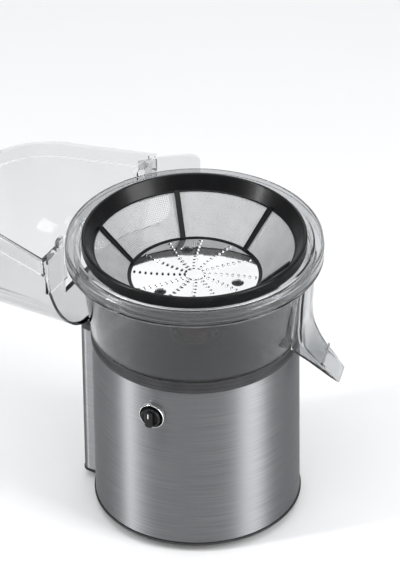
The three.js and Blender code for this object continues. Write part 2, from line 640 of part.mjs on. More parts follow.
// The container in plan: tapered sides and a rounded outer end.
function containerPlan(inset, front) {
  const [half, back] = [CONTAINER_HALF_WIDTH - inset, CONTAINER_BACK - inset];
  const shape = new THREE.Shape();
  shape.moveTo(-front, half);
  shape.lineTo(-front, -half);
  shape.lineTo(-150, -(half - 17.8));
  shape.bezierCurveTo(-186, 24 - half, -back, -38, -back, 0);
  shape.bezierCurveTo(-back, 38, -186, half - 24, -150, half - 17.8);
  return shape;
}

// The container seen along X: a U with large round corners.
function containerSection(inset, top) {
  const [half, low] = [CONTAINER_HALF_WIDTH - inset, RIM_Z - CONTAINER_DEPTH + inset];
  const shape = new THREE.Shape();
  shape.moveTo(-half, top);
  shape.lineTo(1.5 - half, RIM_Z - 12);
  shape.bezierCurveTo(9.8 - half, RIM_Z - 40, 25.8 - half, low + 2, -20, low);
  shape.lineTo(20, low);
  shape.bezierCurveTo(half - 25.8, low + 2, half - 9.8, RIM_Z - 40, half - 1.5, RIM_Z - 12);
  shape.lineTo(half, top);
  return shape;
}

// The container seen along Y: its outer end leans out and its lower edge is rounded.
function containerSide(inset, front, top) {
  const [back, low] = [CONTAINER_BACK - inset, RIM_Z - CONTAINER_DEPTH + inset];
  const shape = new THREE.Shape();
  shape.moveTo(-front, top);
  shape.lineTo(-front, low);
  shape.lineTo(30 - back, low);
  shape.bezierCurveTo(14 - back, low, 8 - back, low + 14, 5 - back, low + 34);
  shape.lineTo(-back, top);
  return shape;
}

function containerBody(inset, front, top) {
  return common(
    swept(containerPlan(inset, front), 'z', 0, top, 10),
    swept(containerSection(inset, top), 'x', -CONTAINER_BACK - 5, -CONTAINER_FRONT + 5, 10),
    swept(containerSide(inset, front, top), 'y', -CONTAINER_HALF_WIDTH - 5, CONTAINER_HALF_WIDTH + 5),
  );
}

const EAR_TOP_Z = RIM_Z + 11.5;

// The ear that reaches round the rim, on the +Y side, standing above it.
function containerEar() {
  const [inner, outer] = [RIM_RADIUS + 1, RIM_RADIUS + 3.4];
  const [from, to] = [THREE.MathUtils.degToRad(117), THREE.MathUtils.degToRad(145)];
  const shape = new THREE.Shape();
  shape.absarc(0, 0, outer, from, to);
  shape.absarc(0, 0, inner, to, from, true);
  const strip = swept(shape, 'z', RIM_Z - 8, EAR_TOP_Z);
  const corner = block(-CONTAINER_FRONT - 4, -RIM_RADIUS * 0.74, 57, 71, RIM_Z - 8, RIM_Z);
  const above = EAR_TOP_Z + 1;
  const round = [[-56, above], [-56, EAR_TOP_Z], [-51.5, EAR_TOP_Z - 1.8], [-49, EAR_TOP_Z - 7], [-40, EAR_TOP_Z - 7]];
  const endCorner = swept([...round, [-40, above]], 'y', 80, 110);
  return join(cut(strip, endCorner), cut(corner, bowlSpace(0.8)));
}

function pulpContainer() {
  const inner = CONTAINER_FRONT + CONTAINER_FRONT_WALL;
  const shell = cut(
    containerBody(0, CONTAINER_FRONT, CONTAINER_TOP_Z),
    containerBody(WALL, inner, CONTAINER_TOP_Z + 1),
  );
  const lipOuter = common(
    swept(containerPlan(-3, CONTAINER_FRONT), 'z', CONTAINER_TOP_Z - CONTAINER_LIP_HEIGHT, CONTAINER_TOP_Z, 10),
    block(-300, -CONTAINER_FRONT, -200, 200, 0, 300),
  );
  const lip = cut(lipOuter, swept(containerPlan(WALL - 0.3, inner), 'z', 0, CONTAINER_TOP_Z + 1, 10));
  const halfWidth = CONTAINER_HALF_WIDTH - 1.5;
  const [apronBack, apronFront] = [-CONTAINER_FRONT - 1, WALL - CONTAINER_FRONT];
  const apron = block(apronBack, apronFront, -halfWidth, halfWidth, APRON_BOTTOM_Z, CONTAINER_TOP_Z);
  const mouth = block(-inner - 1, -80, -CONTAINER_MOUTH_HALF_WIDTH, CONTAINER_MOUTH_HALF_WIDTH, RIM_Z - 46, RIM_Z + 20);
  const lug = swept(roundedRectangle(-61.5, RIM_Z + 1.5, 10.5, 15, 4), 'x', -CONTAINER_FRONT - 3.5, -CONTAINER_FRONT);
  return cut(join(shell, lip, apron, containerEar(), lug), mouth, bowlSpace(0.8));
}

addHousing();
addSpeedControl();
addMotor();
addJuiceBowl();
addBasket();
add('pulp_container', pulpContainer(), clearPlastic());

export default juicer;
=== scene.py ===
"""A centrifugal juicer: steel base, smoky juice bowl with its spout, filter basket and clear pulp container.

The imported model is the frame. The pieces below stand for its plain solids, and the other nodes get a finish.
Lengths are in millimetres in the object's own frame, +Z up from the flat pad under the base, and become
metres when a mesh is made. The outline of a turned body is a list of (radius, height).
"""

import json
import math

import bmesh
import bpy
from mathutils import Matrix, Quaternion, Vector

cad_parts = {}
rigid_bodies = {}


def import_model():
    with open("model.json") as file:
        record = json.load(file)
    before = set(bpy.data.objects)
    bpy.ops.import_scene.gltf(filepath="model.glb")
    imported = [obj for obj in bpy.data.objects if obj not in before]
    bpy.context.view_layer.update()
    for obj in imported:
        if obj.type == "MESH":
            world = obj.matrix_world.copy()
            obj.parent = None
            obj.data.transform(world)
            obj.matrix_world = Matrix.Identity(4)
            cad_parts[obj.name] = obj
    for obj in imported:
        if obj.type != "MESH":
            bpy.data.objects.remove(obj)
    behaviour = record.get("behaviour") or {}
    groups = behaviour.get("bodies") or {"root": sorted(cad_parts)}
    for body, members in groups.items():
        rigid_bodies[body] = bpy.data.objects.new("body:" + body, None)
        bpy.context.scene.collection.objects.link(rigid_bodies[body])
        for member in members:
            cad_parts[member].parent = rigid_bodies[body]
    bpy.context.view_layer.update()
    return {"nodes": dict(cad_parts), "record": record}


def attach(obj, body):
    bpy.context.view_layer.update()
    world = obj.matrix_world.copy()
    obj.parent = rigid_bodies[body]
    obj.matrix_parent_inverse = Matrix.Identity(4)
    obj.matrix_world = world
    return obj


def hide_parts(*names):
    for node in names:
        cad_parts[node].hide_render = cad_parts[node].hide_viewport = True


MM = 0.001

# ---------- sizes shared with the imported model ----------

GAP = 0.3
WALL = 2.2  # moulded plastic wall
FOOT_BOTTOM_Z = -6.0
BASE_UNDERSIDE_Z = 1.0
RIM_Z = 244.0
RIM_RADIUS = 104.0
BAND_BOTTOM_Z = RIM_Z - 15
DRUM_RADIUS = 84.0
DRUM_INNER = 82.5
DRUM_BOTTOM_Z = 3.0
DRUM_TOP_Z = 152.0
SPINE_REACH = 95.0
SPINE_DEPTH = 40.0
SPINE_WIDTH = 55.0
SPINE_TOP_Z = 143.0
SPINE_CAP_TOP_Z = 148.0
PIN_X = -89.5
BOWL_BOTTOM_Z = 162.0
BOWL_FLOOR_Z = 164.5
BOWL_FOOT_RADIUS = 84.5
BOWL_NECK_RADIUS = 93.5
COLLAR_RADIUS = 11.7
COLLAR_TOP_Z = 177.5
WINDOW_HALF_WIDTH = 68.0
WINDOW_SILL_Z = RIM_Z - 42
WINDOW_TOP_Z = BAND_BOTTOM_Z - 1.5
SPOUT_TURN = math.radians(17)  # from +X towards +Y
SPOUT_HOOD_END = 107.5  # where the closed duct becomes an open lip
SPOUT_REACH = 121.0
SPOUT_DROP = 116.0  # how far its tip lies below the rim
CONTAINER_FRONT = 86.8
CONTAINER_INNER_FRONT = 91.0
CONTAINER_BACK = 206.0
CONTAINER_HALF_WIDTH = 87.8
CONTAINER_BOTTOM_Z = RIM_Z - 94
CONTAINER_TOP_Z = RIM_Z + 2.5
CONTAINER_LIP_HEIGHT = 13.5
APRON_BOTTOM_Z = RIM_Z - 30.5
EAR_TOP_Z = RIM_Z + 11.5
MOUTH_HALF_WIDTH = 57.5
BASKET_TOP_Z = RIM_Z + 4.5
BASKET_RADIUS = 90.5
BASKET_MOUTH_RADIUS = 80.0
BASKET_MOUTH_Z = RIM_Z - 7.3
BASKET_BASE_RADIUS = 54.8
BASKET_FLOOR_TOP_Z = RIM_Z - 35.5
DISC_RADIUS = 51.4
DISC_TOP_Z = RIM_Z - 34
DISC_THICKNESS = 1.2
DISC_DROP = 0.7  # how much lower the disc's edge lies than its middle
RIB_TURN = math.radians(70)  # first rib, from +X
RIB_WIDTH = 4.4
SCREW_CIRCLE = 36.5
SCREW_POCKET_RADIUS = 4.6
SCREW_POCKET_DEPTH = 3.1
SCREW_TURN = math.radians(10)
KNOB_TURN = math.radians(5.5)  # from -Y towards +X
KNOB_Z = 127.0
KNOB_RADIUS = 8.4
BEZEL_RADIUS = 10.8
GLAND_Z = 22.0
FOOT_CIRCLE = 62.0
SCREW_POST_CIRCLE = 70.0

# ---------- sizes of the finer shapes ----------

ROUND = 160  # sides of a large round
FINE_ROUND = 192  # sides of the bowl
DIAL_ROUND = 96  # sides of the knob and the hub
SMALL_ROUND = 48  # sides of a small round
SPINE_SHEET = 1.5
KNOB_ROOT_REACH = 80.0  # how far from the drum's axis the knob's bodies start
SHAFT_BORE_RADIUS = 3.1
PIN_HOLE_RADIUS = 2.25
BASE_SCREW_HOLE_RADIUS = 2.3
TRIM_INNER = 78.0
SCREW_BORE_RADIUS = 1.9
DOG_SOCKET_RADIUS = 7.85  # corner radius of the hexagonal socket in the hub
TOOTH_ROWS = 12
TEETH_PER_ROW = 9
TOOTH_RING_RADIUS = 8.1
FIRST_TOOTH_RADIUS = 12.0
TOOTH_STEP = 4.62  # along a row
ROW_TRAIL = 0.003  # how far a row trails, in radians per millimetre
MESH_AROUND, MESH_ROWS = 288, 24  # cells of the filter
MESH_OPEN_SHARE = 0.6  # of a cell's side
SPOUT_STEPS = 56  # sections down the spout
DUCT_END_DROP = 97.4
DUCT_END_HALF_WIDTH = 14.6

HOOD_LINE = [  # (distance from the axis, drop below the rim)
    (96.4, 17),
    (94.8, 37),
    (94.0, 53),
    (93.4, 64),
    (94.8, 77),
    (100.0, 87.5),
    (SPOUT_HOOD_END, 98.2),
    (112.6, 104),
    (116.9, 109.6),
    (SPOUT_REACH - 0.7, 115.5),
]
HALF_WIDTHS = [  # (drop below the rim, half width of the spout)
    (16.5, 23.3),
    (60, 23.5),
    (71, 22.1),
    (82, 19.5),
    (87.5, 17.8),
    (96, 15.5),
    (104, 14.3),
    (110, 13.4),
    (113.5, 12.4),
    (116, 10.8),
]
UNDERSIDE_OUT, UNDERSIDE_DROP = 80.7, 82.4  # where the spout's sloping underside starts
UNDERSIDE_SLOPE = (SPOUT_DROP - UNDERSIDE_DROP) / (SPOUT_REACH - UNDERSIDE_OUT)

# ---------- picture ----------

CAMERA_AZIMUTH, CAMERA_ELEVATION, CAMERA_ROLL = 30.0, 34.4, -0.75  # degrees
CAMERA_DISTANCE = 4.5
CAMERA_LENS = 355.3
RIM_OFFSET = (4.0, 36.9)  # how far left and above the view's centre the rim's centre lies, in millimetres
LAMP_TARGET = Vector((0, 0, 0.16))  # metres
LIGHT_BOUNCES = 24  # enough for light to cross all the clear walls

# ---------- mesh tools ----------


def softened(outline, radius, steps=3):
    """A closed outline with each corner rounded by up to the radius. Corners on the turning axis stay."""
    soft = []
    corners = [Vector(point) for point in outline]
    for i, corner in enumerate(corners):
        before = corners[i - 1] - corner
        after = corners[(i + 1) % len(corners)] - corner
        straight = before.angle(after) > math.radians(168)
        if radius <= 0 or straight or abs(corner.x) < 1e-6:
            soft.append(corner)
            continue
        start = corner + before.normalized() * min(radius, before.length * 0.45)
        end = corner + after.normalized() * min(radius, after.length * 0.45)
        for step in range(steps + 1):
            t = step / steps
            soft.append(start.lerp(corner, t).lerp(corner.lerp(end, t), t))
    return soft


def curve_through(points, count):
    """Points at equal steps along a smooth curve through the given 2-D points."""
    knots = [Vector(point) for point in points]
    knots = [2 * knots[0] - knots[1], *knots, 2 * knots[-1] - knots[-2]]
    spans = len(points) - 1
    line = []
    for i in range(count):
        place = min(i * spans / (count - 1), spans - 1e-9)
        at = int(place)
        t = place - at
        a, b, c, d = knots[at : at + 4]
        bend = (2 * a - 5 * b + 4 * c - d) * t * t + (3 * b - a - 3 * c + d) * t * t * t
        line.append(b + ((c - a) * t + bend) / 2)
    return line


def value_at(table, place):
    """The value of a table of (place, value) pairs, straight between its rows."""
    for (low, first), (high, second) in zip(table, table[1:]):
        if place <= high:
            share = max(0.0, (place - low) / (high - low))
            return first + (second - first) * share
    return table[-1][1]


def solid(name, vertices, faces):
    """A mesh object from points in millimetres, with its faces turned outwards."""
    work = bmesh.new()
    placed = [work.verts.new([value * MM for value in vertex]) for vertex in vertices]
    for face in faces:
        work.faces.new([placed[i] for i in face])
    bmesh.ops.remove_doubles(work, verts=work.verts, dist=1e-7)
    bmesh.ops.recalc_face_normals(work, faces=work.faces)
    mesh = bpy.data.meshes.new(name)
    work.to_mesh(mesh)
    work.free()
    made = bpy.data.objects.new(name, mesh)
    bpy.context.scene.collection.objects.link(made)
    return made


def lathe(name, outline, soften=0.5, sides=ROUND, steps=3):
    """A closed outline of (radius, height) points turned about the Z axis."""
    profile = softened(outline, soften, steps)
    count = len(profile)
    vertices = []
    for i in range(sides):
        turn = 2 * math.pi * i / sides
        vertices += [(p.x * math.cos(turn), p.x * math.sin(turn), p.y) for p in profile]
    faces = []
    for j in range(count):
        k = (j + 1) % count
        if profile[j].x < 1e-6 and profile[k].x < 1e-6:
            continue
        for i in range(sides):
            here, there = i * count, (i + 1) % sides * count
            faces.append((here + j, there + j, there + k, here + k))
    return solid(name, vertices, faces)


def loft(name, sections):
    """A closed body through a row of closed sections with equal numbers of points."""
    count = len(sections[0])
    vertices = [point for section in sections for point in section]
    faces = [tuple(range(count)), tuple(range(len(vertices) - count, len(vertices)))]
    for i in range(len(sections) - 1):
        low, high = i * count, (i + 1) * count
        for j in range(count):
            k = (j + 1) % count
            faces.append((low + j, low + k, high + k, high + j))
    return solid(name, vertices, faces)


def prism(name, outline, axis, start, end):
    """A closed outline pushed along one axis, from start to end."""
    place = {
        "x": lambda a, b, c: (c, a, b),
        "y": lambda a, b, c: (a, c, b),
        "z": lambda a, b, c: (a, b, c),
    }[axis]
    return loft(name, [[place(a, b, height) for a, b in outline] for height in (start, end)])


def rounded_rectangle(x, y, width, height, radius, steps=6):
    """A rectangle's outline about (x, y), with round corners."""
    outline = []
    for i, (side, rise) in enumerate([(1, 1), (-1, 1), (-1, -1), (1, -1)]):
        centre = (x + side * (width / 2 - radius), y + rise * (height / 2 - radius))
        for step in range(steps + 1):
            turn = math.pi / 2 * (i + step / steps)
            outline.append((centre[0] + radius * math.cos(turn), centre[1] + radius * math.sin(turn)))
    return outline


def applied(made, spent=()):
    """The object with its modifiers made part of its mesh, and the tools they used removed."""
    graph = bpy.context.evaluated_depsgraph_get()
    mesh = bpy.data.meshes.new_from_object(made.evaluated_get(graph))
    made.modifiers.clear()
    made.data = mesh
    for tool in spent:
        bpy.data.objects.remove(tool)
    return made


def combined(made, operation, *tools):
    for tool in tools:
        step = made.modifiers.new("combine", "BOOLEAN")
        step.operation = operation
        step.solver = "EXACT"
        step.object = tool
    return applied(made, tools)


def cut(made, *tools):
    return combined(made, "DIFFERENCE", *tools)


def joined(made, *tools):
    return combined(made, "UNION", *tools)


def common(made, *tools):
    return combined(made, "INTERSECT", *tools)


def bevelled(made, width, segments=3):
    step = made.modifiers.new("edges", "BEVEL")
    step.width = width * MM
    step.segments = segments
    step.limit_method = "ANGLE"
    step.angle_limit = math.radians(32)
    return applied(made)


def moved(made, x):
    """The body pushed along X."""
    made.data.transform(Matrix.Translation((x * MM, 0, 0)))
    return made


def spun(made, angle):
    """The body turned about the Z axis."""
    made.data.transform(Matrix.Rotation(angle, 4, "Z"))
    return made


def copied(made, name, angle):
    """A copy of the object, turned about the Z axis."""
    twin = bpy.data.objects.new(name, made.data.copy())
    bpy.context.scene.collection.objects.link(twin)
    return spun(twin, angle)


def on_knob_axis(made):
    """Stands a body turned about Z on the knob's axis, its heights counted outwards from the drum's axis."""
    made.data.transform(Matrix.Translation((0, 0, KNOB_Z * MM)) @ Matrix.Rotation(math.pi / 2, 4, "X"))
    return spun(made, KNOB_TURN)


# ---------- materials ----------


class Surface:
    """A material's nodes, with short ways to add and join them."""

    def __init__(self, name, constants):
        self.material = bpy.data.materials.new(name)
        self.material.use_nodes = True
        self.nodes = self.material.node_tree.nodes
        self.links = self.material.node_tree.links
        self.shader = self.nodes["Principled BSDF"]
        for socket, value in constants.items():
            self.shader.inputs[socket].default_value = value

    def place(self):
        return self.nodes.new("ShaderNodeTexCoord").outputs["Object"]

    def wrapped(self, radius):
        """Coordinates laid round the Z axis: along the turn, out from the axis, and up."""
        parts = self.nodes.new("ShaderNodeSeparateXYZ")
        self.links.new(self.place(), parts.inputs[0])
        turn = self.nodes.new("ShaderNodeMath")
        turn.operation = "ARCTAN2"
        self.links.new(parts.outputs["Y"], turn.inputs[0])
        self.links.new(parts.outputs["X"], turn.inputs[1])
        along = self.nodes.new("ShaderNodeMath")
        along.operation = "MULTIPLY"
        along.inputs[1].default_value = radius * MM
        self.links.new(turn.outputs[0], along.inputs[0])
        whole = self.nodes.new("ShaderNodeCombineXYZ")
        self.links.new(along.outputs[0], whole.inputs["X"])
        self.links.new(parts.outputs["Z"], whole.inputs["Z"])
        return whole.outputs[0]

    def noise(self, scale, detail=2.0, stretch=(1, 1, 1), place=None):
        """Noise with features of about 1 / scale metres, squeezed along each axis by stretch."""
        mapping = self.nodes.new("ShaderNodeMapping")
        mapping.inputs["Scale"].default_value = stretch
        self.links.new(place or self.place(), mapping.inputs["Vector"])
        texture = self.nodes.new("ShaderNodeTexNoise")
        texture.inputs["Scale"].default_value = scale
        texture.inputs["Detail"].default_value = detail
        self.links.new(mapping.outputs[0], texture.inputs["Vector"])
        return texture.outputs[0]

    def between(self, source, low, high, start=0.3, end=0.7):
        """A number that goes from low to high as source goes from start to end."""
        scale = self.nodes.new("ShaderNodeMapRange")
        for socket, value in (("From Min", start), ("From Max", end), ("To Min", low), ("To Max", high)):
            scale.inputs[socket].default_value = value
        self.links.new(source, scale.inputs["Value"])
        return scale.outputs[0]

    def colours(self, source, low, high, start=0.3, end=0.7):
        """A colour that goes from low to high as source goes from start to end."""
        ramp = self.nodes.new("ShaderNodeValToRGB")
        for element, place, colour in zip(ramp.color_ramp.elements, (start, end), (low, high)):
            element.position = place
            element.color = (*colour, 1)
        self.links.new(source, ramp.inputs[0])
        return ramp.outputs[0]

    def feed(self, socket, source):
        self.links.new(source, self.shader.inputs[socket])

    def bump(self, source, height, strength=1.0):
        """Raises the surface by source, up to height in millimetres."""
        relief = self.nodes.new("ShaderNodeBump")
        relief.inputs["Distance"].default_value = height * MM
        relief.inputs["Strength"].default_value = strength
        self.links.new(source, relief.inputs["Height"])
        self.feed("Normal", relief.outputs[0])

    def passes_lamps(self, tint):
        """Lets lamps shine through a clear surface, dimmed by its tint."""
        path = self.nodes.new("ShaderNodeLightPath")
        clear = self.nodes.new("ShaderNodeBsdfTransparent")
        clear.inputs["Color"].default_value = (*tint, 1)
        mix = self.nodes.new("ShaderNodeMixShader")
        self.links.new(path.outputs["Is Shadow Ray"], mix.inputs["Fac"])
        self.links.new(self.shader.outputs[0], mix.inputs[1])
        self.links.new(clear.outputs[0], mix.inputs[2])
        self.links.new(mix.outputs[0], self.nodes["Material Output"].inputs["Surface"])


def clear_moulding(name, dark, light, lamp_tint, bend):
    """Glossy see-through plastic with faint flow marks and a slight waviness."""
    surface = Surface(name, {"Transmission Weight": 1.0, "IOR": bend, "Specular IOR Level": 0.5})
    flow = surface.noise(28, 3.0)
    surface.feed("Base Color", surface.colours(flow, dark, light))
    surface.feed("Roughness", surface.between(surface.noise(40), 0.0, 0.02))
    surface.bump(surface.noise(25, 2.0), 0.15, 0.2)
    surface.passes_lamps(lamp_tint)
    return surface.material


def brushed_steel():
    """Stainless steel with a fine grain that runs round the drum."""
    surface = Surface("brushed_steel", {"Metallic": 1.0, "Anisotropic": 0.95, "Anisotropic Rotation": 0.25})
    place = surface.wrapped(DRUM_RADIUS)
    grain = surface.noise(1.0, 3.0, stretch=(40, 1, 5200), place=place)
    bands = surface.noise(1.0, 2.0, stretch=(20, 1, 2200), place=place)
    surface.feed("Base Color", surface.colours(bands, (0.25, 0.255, 0.265), (0.33, 0.335, 0.345), 0.35, 0.65))
    surface.feed("Roughness", surface.between(grain, 0.5, 0.6))
    surface.bump(grain, 0.01, 0.3)
    tangent = surface.nodes.new("ShaderNodeTangent")
    tangent.direction_type = "RADIAL"
    tangent.axis = "Z"
    surface.feed("Tangent", tangent.outputs[0])
    return surface.material


def polished_steel():
    """Mirror steel with faint marks from spinning."""
    surface = Surface("polished_steel", {"Metallic": 1.0})
    marks = surface.noise(1.0, 3.0, stretch=(400, 400, 400))
    smear = surface.noise(45, 2.0)
    surface.feed("Base Color", surface.colours(smear, (0.84, 0.84, 0.85), (0.93, 0.93, 0.935)))
    surface.feed("Roughness", surface.between(marks, 0.02, 0.075))
    surface.bump(smear, 0.01, 0.2)
    return surface.material


def screen_steel():
    """The thin etched sheet of the filter."""
    surface = Surface("screen_steel", {"Metallic": 0.5})
    etch = surface.noise(1500, 2.0)
    surface.feed("Base Color", surface.colours(surface.noise(60), (0.5, 0.5, 0.51), (0.58, 0.58, 0.585)))
    surface.feed("Roughness", surface.between(etch, 0.5, 0.65))
    surface.bump(etch, 0.01, 0.3)
    return surface.material


def moulded(name, dark, light, rough, grain, relief, extra=None):
    """An opaque material whose colour, roughness and relief follow noise, with grain features per metre."""
    surface = Surface(name, extra or {})
    fine = surface.noise(grain, 3.0)
    broad = surface.noise(grain / 30, 2.0)
    surface.feed("Base Color", surface.colours(broad, dark, light))
    surface.feed("Roughness", surface.between(fine, rough[0], rough[1]))
    surface.bump(fine, relief, 0.5)
    return surface.material


def stacked_iron():
    """Thin iron sheets stacked on top of each other."""
    surface = Surface("stacked_iron", {"Metallic": 1.0})
    sheets = surface.noise(1.0, 1.0, stretch=(4, 4, 1800))
    surface.feed("Base Color", surface.colours(sheets, (0.18, 0.185, 0.19), (0.4, 0.4, 0.41)))
    surface.feed("Roughness", surface.between(sheets, 0.35, 0.55))
    surface.bump(sheets, 0.08, 0.6)
    return surface.material


def black_satin():
    """The black plastic of the basket frame and the knob."""
    gloss = {"Coat Weight": 0.1, "Coat Roughness": 0.15, "Specular IOR Level": 0.22}
    dark, light = (0.003, 0.003, 0.0035), (0.0055, 0.0055, 0.006)
    return moulded("black_satin_plastic", dark, light, (0.25, 0.36), 2600, 0.02, gloss)


def make_finishes():
    """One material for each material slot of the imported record."""
    metal = {"Metallic": 1.0}
    grey, pale_grey = (0.02, 0.02, 0.022), (0.034, 0.034, 0.037)
    smoke, pale_smoke, smoke_tint = (0.59, 0.6, 0.61), (0.63, 0.64, 0.65), (0.78, 0.79, 0.8)
    clear, pale_clear, clear_tint = (0.78, 0.785, 0.785), (0.8, 0.805, 0.805), (0.9, 0.9, 0.9)
    rubber, pale_rubber = (0.018, 0.018, 0.018), (0.032, 0.032, 0.032)
    zinc, pale_zinc = (0.5, 0.51, 0.53), (0.66, 0.67, 0.68)
    yellow, pale_yellow = (0.5, 0.34, 0.03), (0.62, 0.45, 0.06)
    return {
        "brushed_housing": brushed_steel(),
        "bright_steel": polished_steel(),
        "basket_mesh": screen_steel(),
        "black_gloss": black_satin(),
        "black_matte": moulded("black_matte_plastic", grey, pale_grey, (0.5, 0.68), 1800, 0.05),
        "smoky_clear": clear_moulding("smoky_plastic", smoke, pale_smoke, smoke_tint, 1.45),
        "clear_plastic": clear_moulding("clear_plastic", clear, pale_clear, clear_tint, 1.22),
        "foot_rubber": moulded("foot_rubber", rubber, pale_rubber, (0.7, 0.88), 1400, 0.06),
        "motor_iron": stacked_iron(),
        "bracket_steel": moulded("zinc_plate", zinc, pale_zinc, (0.3, 0.45), 900, 0.02, metal),
        "copper": moulded("copper", (0.62, 0.27, 0.13), (0.8, 0.42, 0.25), (0.25, 0.4), 1200, 0.03, metal),
        "carbon": moulded("carbon", (0.02, 0.02, 0.02), (0.045, 0.045, 0.045), (0.5, 0.75), 2200, 0.04),
        "board": moulded("solder_mask", (0.01, 0.09, 0.04), (0.02, 0.15, 0.07), (0.3, 0.5), 700, 0.02),
        "capacitor_yellow": moulded("capacitor_case", yellow, pale_yellow, (0.4, 0.55), 900, 0.02),
    }


# ---------- pieces ----------


def finished(made, slot, degrees=34):
    """Gives a mesh its slot's material, and smooth shading that breaks at its sharp edges."""
    made.data.materials.clear()
    made.data.materials.append(finishes[slot])
    for polygon in made.data.polygons:
        polygon.use_smooth = True
    made.data.set_sharp_from_angle(angle=math.radians(degrees))
    flatten = made.modifiers.new("flatten", "WEIGHTED_NORMAL")
    flatten.keep_sharp = True
    applied(made)


def piece(made, body, slot, *nodes, degrees=34):
    """Adds a finished mesh to the object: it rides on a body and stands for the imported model's nodes."""
    finished(made, slot, degrees)
    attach(made, body)
    if nodes:
        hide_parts(*nodes)


def band(inner, outer, low, high):
    """The outline of a plain ring."""
    return [(inner, low), (outer, low), (outer, high), (inner, high)]


def add_drum():
    drum = lathe("drum", band(DRUM_INNER, DRUM_RADIUS, DRUM_BOTTOM_Z, DRUM_TOP_Z), 0.6)
    shaft_hole = on_knob_axis(lathe("hole", band(0, 5, 70, 95), 0, SMALL_ROUND))
    cord_hole = gland_body("hole", band(0, 6, 70, 95), 0)
    piece(cut(drum, shaft_hole, cord_hole), "base", "brushed_housing", "housing_drum")


def spine_outline(inset):
    """The spine seen from above, all round smaller by the inset."""
    centre = -(SPINE_REACH - SPINE_DEPTH / 2)
    return rounded_rectangle(centre, 0, SPINE_DEPTH - 2 * inset, SPINE_WIDTH - 2 * inset, 8 - inset, 10)


def rod(radius, bottom, top, sides=ROUND):
    """A plain upright cylinder, or a prism with a few sides."""
    return lathe("rod", band(0, radius, bottom, top), 0, sides)


def add_spine():
    """The steel spine on the container side, and the plastic cap that closes it."""
    cover = bevelled(prism("spine", spine_outline(0), "z", DRUM_BOTTOM_Z, SPINE_TOP_Z), 0.6)
    hollow = prism("hollow", spine_outline(SPINE_SHEET), "z", DRUM_BOTTOM_Z - 1, SPINE_TOP_Z + 1)
    cut(cover, hollow, rod(DRUM_RADIUS + GAP, 0, 200))
    piece(cover, "base", "brushed_housing", "side_spine")
    cap = bevelled(prism("spine_top", spine_outline(0), "z", SPINE_TOP_Z + GAP, SPINE_CAP_TOP_Z), 1.2, 4)
    pin_hole = moved(rod(PIN_HOLE_RADIUS, 140, 160, SMALL_ROUND), x=PIN_X)
    piece(cut(cap, pin_hole, rod(DRUM_RADIUS + GAP, 0, 200)), "base", "black_matte", "spine_cap")


def add_trim_ring():
    low, high = DRUM_TOP_Z + GAP, BOWL_BOTTOM_Z - GAP
    outline = [
        (TRIM_INNER, low),
        (84.8, low),
        (84.8, low + 2.6),
        (84.1, low + 3.1),
        (84.1, low + 3.7),
        (84.6, low + 4.2),
        (83.4, low + 5.4),
        (83.4, high - 1.6),
        (83.9, high - 1.2),
        (83.9, high),
        (TRIM_INNER, high),
    ]
    piece(lathe("seat_ring", outline, 0.3), "base", "black_matte", "trim_ring")


def gland_body(name, outline, soften):
    """A body turned about the cord gland's axis, its heights counted towards +Y from the drum's axis."""
    made = lathe(name, outline, soften, SMALL_ROUND)
    made.data.transform(Matrix.Translation((0, 0, GLAND_Z * MM)) @ Matrix.Rotation(-math.pi / 2, 4, "X"))
    return made


def add_base():
    """The base plate, with its centre pad, air slots and screw holes."""
    top = DRUM_BOTTOM_Z - GAP
    outline = [
        (0, 0),
        (26, 0),
        (26, BASE_UNDERSIDE_Z),
        (DRUM_RADIUS + 1, BASE_UNDERSIDE_Z),
        (DRUM_RADIUS + 1, top),
        (DRUM_INNER - GAP, top),
        (DRUM_INNER - GAP, 9),
        (DRUM_INNER - 2.5, 9),
        (DRUM_INNER - 2.5, top),
        (0, top),
    ]
    floor = lathe("base_floor", outline, 0.35)
    joined(floor, prism("spine_floor", spine_outline(-0.5), "z", BASE_UNDERSIDE_Z, top))
    tools = []
    for i in range(8):
        slot = prism("slot", rounded_rectangle(0, 40, 19, 5, 2.4), "z", -1, 12)
        tools.append(spun(slot, math.pi / 8 + i * math.pi / 4))
    for i in range(4):
        hole = moved(rod(BASE_SCREW_HOLE_RADIUS, -1, 12, SMALL_ROUND), x=SCREW_POST_CIRCLE)
        tools.append(spun(hole, math.pi / 4 + i * math.pi / 2))
    piece(cut(floor, *tools), "base", "black_matte", "base_plate")


def add_feet():
    low, high = FOOT_BOTTOM_Z, BASE_UNDERSIDE_Z - GAP
    outline = [(0, low + 0.8), (4.5, low + 0.8), (5, low), (8, low)]
    outline += [(9.5, low + 1.5), (10.5, high), (0, high)]
    for i in range(4):
        foot = moved(lathe(f"rubber_foot_{i + 1}", outline, 0.5, SMALL_ROUND), x=FOOT_CIRCLE)
        piece(spun(foot, i * math.pi / 2), "base", "foot_rubber", f"foot_{i + 1}")


def add_cord_gland():
    outline = [
        (0, 74),
        (5.7, 74),
        (5.7, DRUM_RADIUS + GAP),
        (8.5, DRUM_RADIUS + GAP),
        (8.5, 86.4),
        (6.8, 87.9),
        (3.6, 87.9),
        (3.4, 86),
        (0, 86),
    ]
    piece(gland_body("cord_bush", outline, 0.4), "base", "foot_rubber", "cord_gland")


